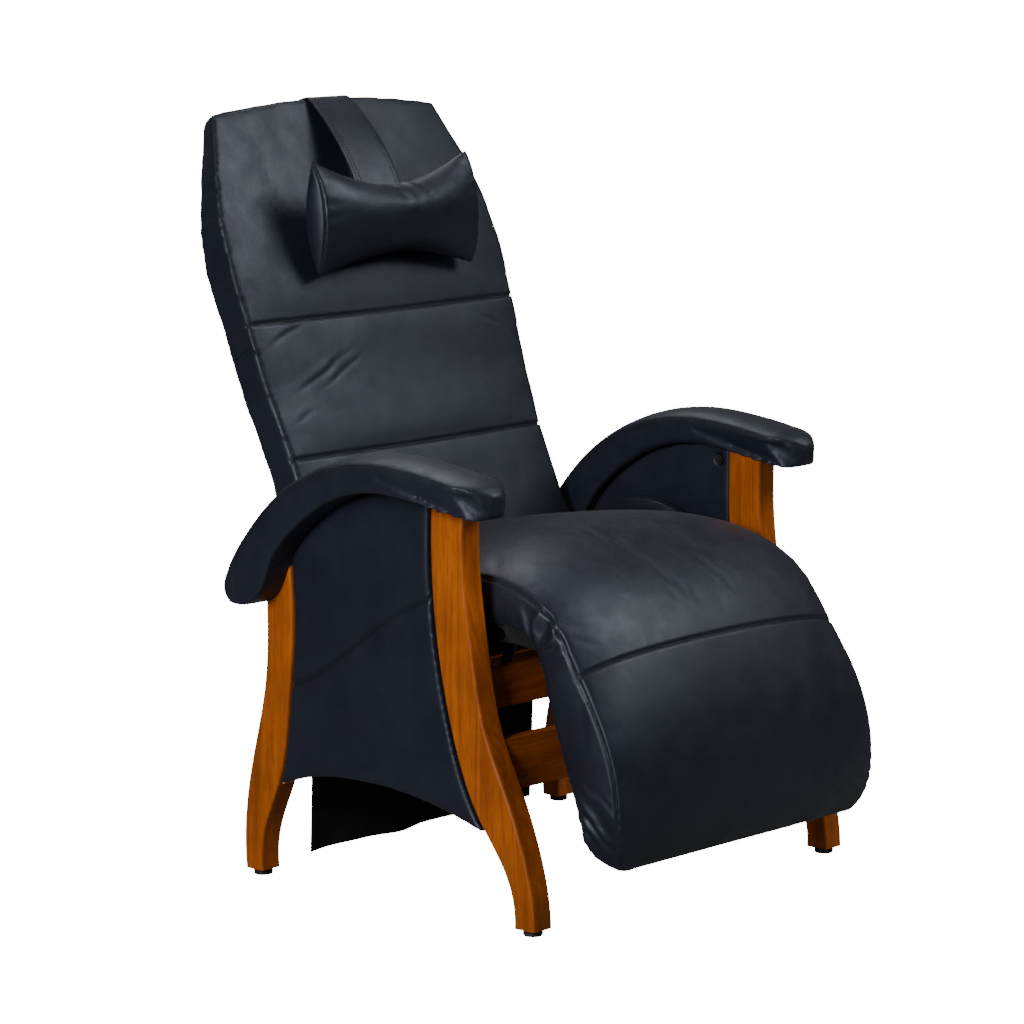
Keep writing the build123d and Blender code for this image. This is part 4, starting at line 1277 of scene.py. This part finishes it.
@dataclass
class ArmPad:
    """One padded arm: a long bent pad with a pointed nose and a side seam under its crown."""

    finishes: Finishes
    side_name: str
    centre_x: float
    half_width: float = 0.0495
    nose_y: float = -0.226
    nose_run: float = 0.050
    under: SideView = ((-0.226, 0.604), (-0.209, 0.597), (-0.151, 0.607), (-0.058, 0.621), (0.030, 0.613),
                       (0.114, 0.572), (0.178, 0.512), (0.212, 0.446), (0.240, 0.427))
    seam: SideView = ((-0.229, 0.628), (-0.209, 0.636), (-0.150, 0.648), (-0.090, 0.656), (-0.040, 0.659),
                      (0.010, 0.657), (0.060, 0.648), (0.110, 0.630), (0.160, 0.603), (0.206, 0.567),
                      (0.249, 0.517), (0.278, 0.474), (0.289, 0.448), (0.278, 0.429), (0.262, 0.424))
    crown: SideView = ((-0.227, 0.634), (-0.209, 0.648), (-0.150, 0.661), (-0.090, 0.670), (-0.040, 0.674),
                       (0.010, 0.672), (0.060, 0.663), (0.110, 0.645), (0.160, 0.618), (0.206, 0.582),
                       (0.249, 0.536), (0.286, 0.487), (0.301, 0.454), (0.292, 0.431), (0.266, 0.422))

    def __post_init__(self) -> None:
        """Sample the lines along which the leather is held."""
        self.seam_side = SideLine(self.seam, 400)
        self.under_side = SideLine(self.under, 400)

    def half_at(self, y: float) -> float:
        """Half the arm's width at a place along it, closing to a point at the nose."""
        run = ramp(y, self.nose_y, self.nose_run)
        tail = ramp(y, 0.300, -0.05)
        return self.half_width * (0.22 + 0.78 * (1 - (1 - run) ** 2.1)) * (0.86 + 0.14 * tail ** 0.5)

    def seam_line(self, sign: int, drop: float = 0.0) -> list[Vector]:
        """The seam along one side of the arm, or a line that far below it."""
        return [side(y, z - drop, self.centre_x + sign * (self.half_at(y) + 0.001))
                for y, z in SmoothPath(self.seam).sample(520) if y < 0.272]

    def narrowed(self, place: Vector, outward: Vector) -> Vector:
        """Where a place of the plain bent pad goes as its nose and tail are drawn in."""
        share = self.half_at(place.y - SIDE_ORIGIN_Y) / self.half_width
        return Vector((self.centre_x + (place.x - self.centre_x) * share, place.y, place.z))

    def shaped(self, place: Vector, outward: Vector) -> Vector:
        """The fine unevenness of leather drawn over foam, with its waist below the seam."""
        y = place.y - SIDE_ORIGIN_Y
        height = 0.0008 * noise.noise(place * 12.0) + 0.0004 * noise.noise(place * 40.0)
        below = 0.0004 * math.sin(y * 70.0 + 3.0 * noise.noise(place * 9.0)) if outward.z < -0.3 else 0.0
        return place + outward * (height + below)

    def build(self) -> None:
        """Make the arm's pad, seams and topstitching."""
        form = CrownedPad(f"arm_rest_{self.side_name}", self.under, self.seam, self.crown, self.half_width,
                          centre_x=self.centre_x, stations=110, columns=24, fullness=2.4, steepness=0.60)
        pad = form.build()
        reshape(pad, self.narrowed)
        remesh(pad, 0.0045)
        relax(pad, 5)
        inflate(pad, self.held, 0.004, pressure=2.0, frames=8)
        refine(pad)
        reshape(pad, self.shaped)
        skin = Skin(pad)
        lines = [evened(skin.lay(self.seam_line(sign), 0.0), 60) for sign in (-1, 1)]
        tip = [side(self.nose_y - 0.02, 0.600 + i * 0.0006, self.centre_x) for i in range(46)]
        lines.append(skin.lay(tip, 0.0))
        sew(pad, lines, 0.0010, 0.0026)
        skin = Skin(pad)
        # The dark seam cords in this piece also paint the shade of the seam folds. Its stitches are real thread.
        thread = Seamwork(f"arm_thread_{self.side_name}")
        for line in lines:
            thread.thread(skin.lay(line, 0.0001), 0.0007)
        for line in lines[:2]:
            thread.stitches(skin.lay_facing([p - Vector((0.0, 0.0, 0.0030)) for p in line], 0.0001),
                            pitch=0.0042, length=0.0042, crosswise=True)
        thread.finish(self.finishes.thread, Body.FRAME)
        dressed(pad, self.finishes.leather, Body.FRAME)
        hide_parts(f"arm_pad_{self.side_name}", f"arm_board_{self.side_name}")

    def held(self, place: Vector) -> bool:
        """Whether a place is on a seam, or on the board under the arm."""
        at_edge = abs(place.x - self.centre_x) > self.half_at(place.y - SIDE_ORIGIN_Y) - 0.006
        return (at_edge and self.seam_side.gap(place) < 0.004) or self.under_side.gap(place) < 0.005


class PanelFace(Enum):
    """The two upholstered faces of a side panel."""

    OUTER = "outer_panel_pad"
    INNER = "inner_panel_pad"


@dataclass
class PanelPad:
    """One upholstered face of a side panel. The outer face has a seam that rises across it."""

    finishes: Finishes
    face: PanelFace
    side_name: str
    sign: int
    puff: float = 0.0022
    seam: SideView = ((0.190, 0.306), (0.150, 0.322), (0.095, 0.356), (0.040, 0.396), (-0.020, 0.436),
                      (-0.070, 0.461), (-0.104, 0.473))

    def build(self) -> None:
        """Make the pad from its solid, softened, and sew its seam if it is the outer face."""
        node = f"{self.face.value}_{self.side_name}"
        shape = bmesh.new()
        shape.from_mesh(frame["nodes"][node].data)
        bmesh.ops.remove_doubles(shape, verts=shape.verts, dist=0.00005)
        pad = to_object(shape, f"{self.face.name.lower()}_side_leather_{self.side_name}")
        remesh(pad, 0.0034)
        relax(pad, 5)
        low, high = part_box(node)
        outward = self.sign if self.face is PanelFace.OUTER else -self.sign
        face_x = high.x if outward > 0 else low.x
        line = [side(y, z, face_x) for y, z in SmoothPath(self.seam).sample(340)]
        seam_side = SideLine(self.seam, 300)

        def swell(place: Vector, way: Vector) -> Vector:
            if abs(place.x - face_x) > 0.004:
                return place
            fullness = min(seam_side.gap(place) / 0.03, 1.0) ** 0.5
            rise = self.puff * fullness + 0.0008 * noise.noise(place * 11.0)
            return place + Vector((outward * rise * min(abs(way.x), 1.0), 0.0, 0.0))

        if self.face is PanelFace.OUTER:
            reshape(pad, swell)
            skin = Skin(pad)
            laid = skin.lay(line, 0.0)
            refine(pad)
            sew(pad, [laid], 0.0022, 0.0028)
            skin = Skin(pad)
            # The dark seam cord in this piece also paints the shade of the seam's fold.
            thread = Seamwork(f"side_panel_thread_{self.side_name}")
            thread.thread(skin.lay(laid, 0.0001), 0.0007)
            thread.finish(self.finishes.thread, Body.FRAME)
        dressed(pad, self.finishes.leather, Body.FRAME)
        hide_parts(node)


@dataclass
class HubCover:
    """The round leather-covered disc inside each arm, over the tilt pivot."""

    finishes: Finishes
    side_name: str
    sign: int
    radius: float = 0.170
    hole: float = 0.012
    wall: float = 0.005

    def build(self) -> None:
        """Turn the cover's wall about the tilt axis, and sew its rim."""
        low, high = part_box(f"hub_cover_{self.side_name}")
        back_x = high.x if self.sign > 0 else low.x
        inward = -self.sign
        rim, hole = self.radius, self.hole
        profile = [(0.000, rim), (0.008, rim), (0.0135, rim - 0.0015), (0.0168, rim - 0.0055),
                   (0.0178, rim - 0.012), (0.0184, 0.120), (0.0188, 0.060), (0.0182, hole + 0.004),
                   (0.0165, hole), (0.0125, hole), (0.0128, 0.060), (0.0124, rim - 0.012),
                   (0.009, rim - self.wall), (0.0, rim - self.wall)]
        shape = bmesh.new()
        ring = [shape.verts.new((back_x + inward * x, HUB.y, HUB.z + r)) for x, r in profile]
        edges = [shape.edges.new(pair) for pair in zip(ring, ring[1:] + ring[:1])]
        bmesh.ops.spin(shape, geom=ring + edges, cent=HUB, axis=(1.0, 0.0, 0.0), dvec=(0.0, 0.0, 0.0),
                       angle=math.tau, steps=96, use_merge=True, use_duplicate=False)
        bmesh.ops.remove_doubles(shape, verts=shape.verts, dist=0.00005)
        cover = to_object(shape, f"hub_disc_{self.side_name}")
        refine(cover)
        skin = Skin(cover)
        at, x = self.radius - 0.011, back_x - HUB.x + inward * 0.03
        turns = [math.tau * i / 720 for i in range(721)]
        laid = skin.lay([HUB + Vector((x, at * math.cos(turn), at * math.sin(turn))) for turn in turns], 0.0)
        # The dark rim cord in this piece also paints the shade of the rim seam.
        thread = Seamwork(f"hub_thread_{self.side_name}")
        thread.thread(laid[:-1] + laid[:1], 0.0007)
        thread.finish(self.finishes.thread, Body.FRAME)
        dressed(cover, self.finishes.leather, Body.FRAME)
        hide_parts(f"hub_cover_{self.side_name}")


@dataclass
class RearSkirt:
    """The dust cloth that hangs behind the chair from the rear rail."""

    finishes: Finishes
    flat: tuple[float, float] = (0.510, 0.286)
    thickness: float = 0.0009
    hem: float = 0.012
    held_share: float = 0.62

    def build(self) -> None:
        """Make the cloth, hanging in shallow waves below its batten."""
        low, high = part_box("rear_skirt")
        plane_y = (low.y + high.y) / 2
        shape = bmesh.new()
        bmesh.ops.create_grid(shape, x_segments=110, y_segments=56, size=1.0)
        for vertex in shape.verts:
            a, b = vertex.co.x, (vertex.co.y + 1.0) / 2.0
            loose = max(1.0 - b / self.held_share, 0.0) ** 1.3
            x = a * (self.flat[0] / 2 - 0.0015)
            wave = math.sin(x * 26.0 + 0.8) * 0.0055 + math.sin(x * 61.0 + 2.0) * 0.0020
            z = low.z + 0.001 + b * (high.z - low.z - 0.001) + 0.0015 * math.sin(x * 33.0) * (1.0 - b)
            vertex.co = Vector((x, plane_y + (wave + 0.004) * loose, z))
        cloth = to_object(shape, "rear_dust_cloth")
        modify(cloth, "SOLIDIFY", thickness=self.thickness, offset=0.0)
        hem = Seamwork("rear_skirt_hem")
        surface = Skin(cloth)
        for lift in (self.hem, self.hem - 0.0015):
            guide = [Vector((-0.25 + i * 0.5 / 900, plane_y + 0.05, low.z + lift)) for i in range(901)]
            hem.stitches(surface.lay_facing(guide, 0.0001))
        hem.finish(self.finishes.thread, Body.FRAME)
        dressed(cloth, self.finishes.cloth, Body.FRAME)
        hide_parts("rear_skirt")


def face_along(item: bpy.types.Object, place: Place, ahead: Vector) -> None:
    """Put a lamp or camera at a place, facing along a direction."""
    item.location = place
    item.rotation_euler = ahead.to_track_quat("-Z", "Y").to_euler()


@dataclass(frozen=True)
class Lamp:
    """A soft square light, aimed at a place."""

    name: str
    place: Place
    aim: Place
    size: float
    power: float

    def hang(self) -> None:
        """Add the light to the scene."""
        data = bpy.data.lights.new(self.name, "AREA")
        data.size = self.size
        data.energy = self.power
        face_along(in_scene(self.name, data), self.place, Vector(self.aim) - Vector(self.place))


@dataclass
class Studio:
    """Pale floor, soft lights and the camera."""

    lamps: tuple[Lamp, ...] = (Lamp("key", (2.0, -2.4, 3.6), (0.0, -0.05, 0.65), 2.2, 115.0),
                               Lamp("side", (-4.0, -0.9, 2.0), (0.0, 0.0, 0.45), 1.4, 165.0),
                               Lamp("top", (0.6, 1.5, 3.6), (0.0, -0.1, 0.5), 2.2, 52.0))
    eye: Place = (-4.5658, -4.0872, 1.4941)
    ahead: Place = (0.73421, 0.66131, -0.15364)
    lens: float = 142.75
    paleness: float = 16.0
    ambient: float = 0.07

    def floor(self) -> None:
        """A wide plain floor."""
        shape = bmesh.new()
        bmesh.ops.create_grid(shape, x_segments=1, y_segments=1, size=120.0)
        floor = to_object(shape, "studio_floor")
        work = Finish("pale_floor")
        glow = work.put("Emission", Strength=self.paleness)
        seen = work.put("MixShader", Fac=work.put("LightPath").outputs["Is Camera Ray"])
        both = work.put("AddShader")
        work.join((glow.outputs[0], seen.inputs[2]), (work.shader.outputs[0], both.inputs[0]),
                  (seen.outputs[0], both.inputs[1]),
                  (both.outputs[0], work.tree.nodes["Material Output"].inputs["Surface"]))
        floor.data.materials.append(
            work.done(Base_Color=(0.22, 0.22, 0.22, 1.0), Roughness=0.9, Specular_IOR_Level=0.1))

    def build(self) -> None:
        """Set the stage."""
        self.floor()
        world = bpy.data.worlds.new("studio")
        bpy.context.scene.world = world
        world.use_nodes = True
        sky = world.node_tree.nodes["Background"]
        sky.inputs["Color"].default_value = (1.0, 1.0, 1.0, 1.0)
        sky.inputs["Strength"].default_value = self.ambient
        for lamp in self.lamps:
            lamp.hang()
        camera_data = bpy.data.cameras.new("camera")
        camera_data.lens = self.lens
        camera_data.sensor_width = 36.0
        camera_data.clip_end = 100.0
        camera = in_scene("camera", camera_data)
        face_along(camera, self.eye, Vector(self.ahead))
        bpy.context.scene.camera = camera


def main() -> None:
    """Build the stage, dress the frame and make every soft piece."""
    logging.basicConfig(level=logging.INFO, format="%(message)s")
    Studio().build()
    finishes = Finishes()
    finishes.dress_frame()
    SeatAndLegPad(finishes).build()
    back = BackPad(finishes).build()
    HeadPillow(finishes).build()
    HeadStrap(finishes, back).build()
    WeightPouch(finishes).build()
    RearSkirt(finishes).build()
    for side_name, sign in (("right", -1), ("left", 1)):
        ArmPad(finishes, side_name, sign * ARM_CENTRE).build()
        HubCover(finishes, side_name, sign).build()
        for face in PanelFace:
            PanelPad(finishes, face, side_name, sign).build()


if __name__ == "__main__":
    main()
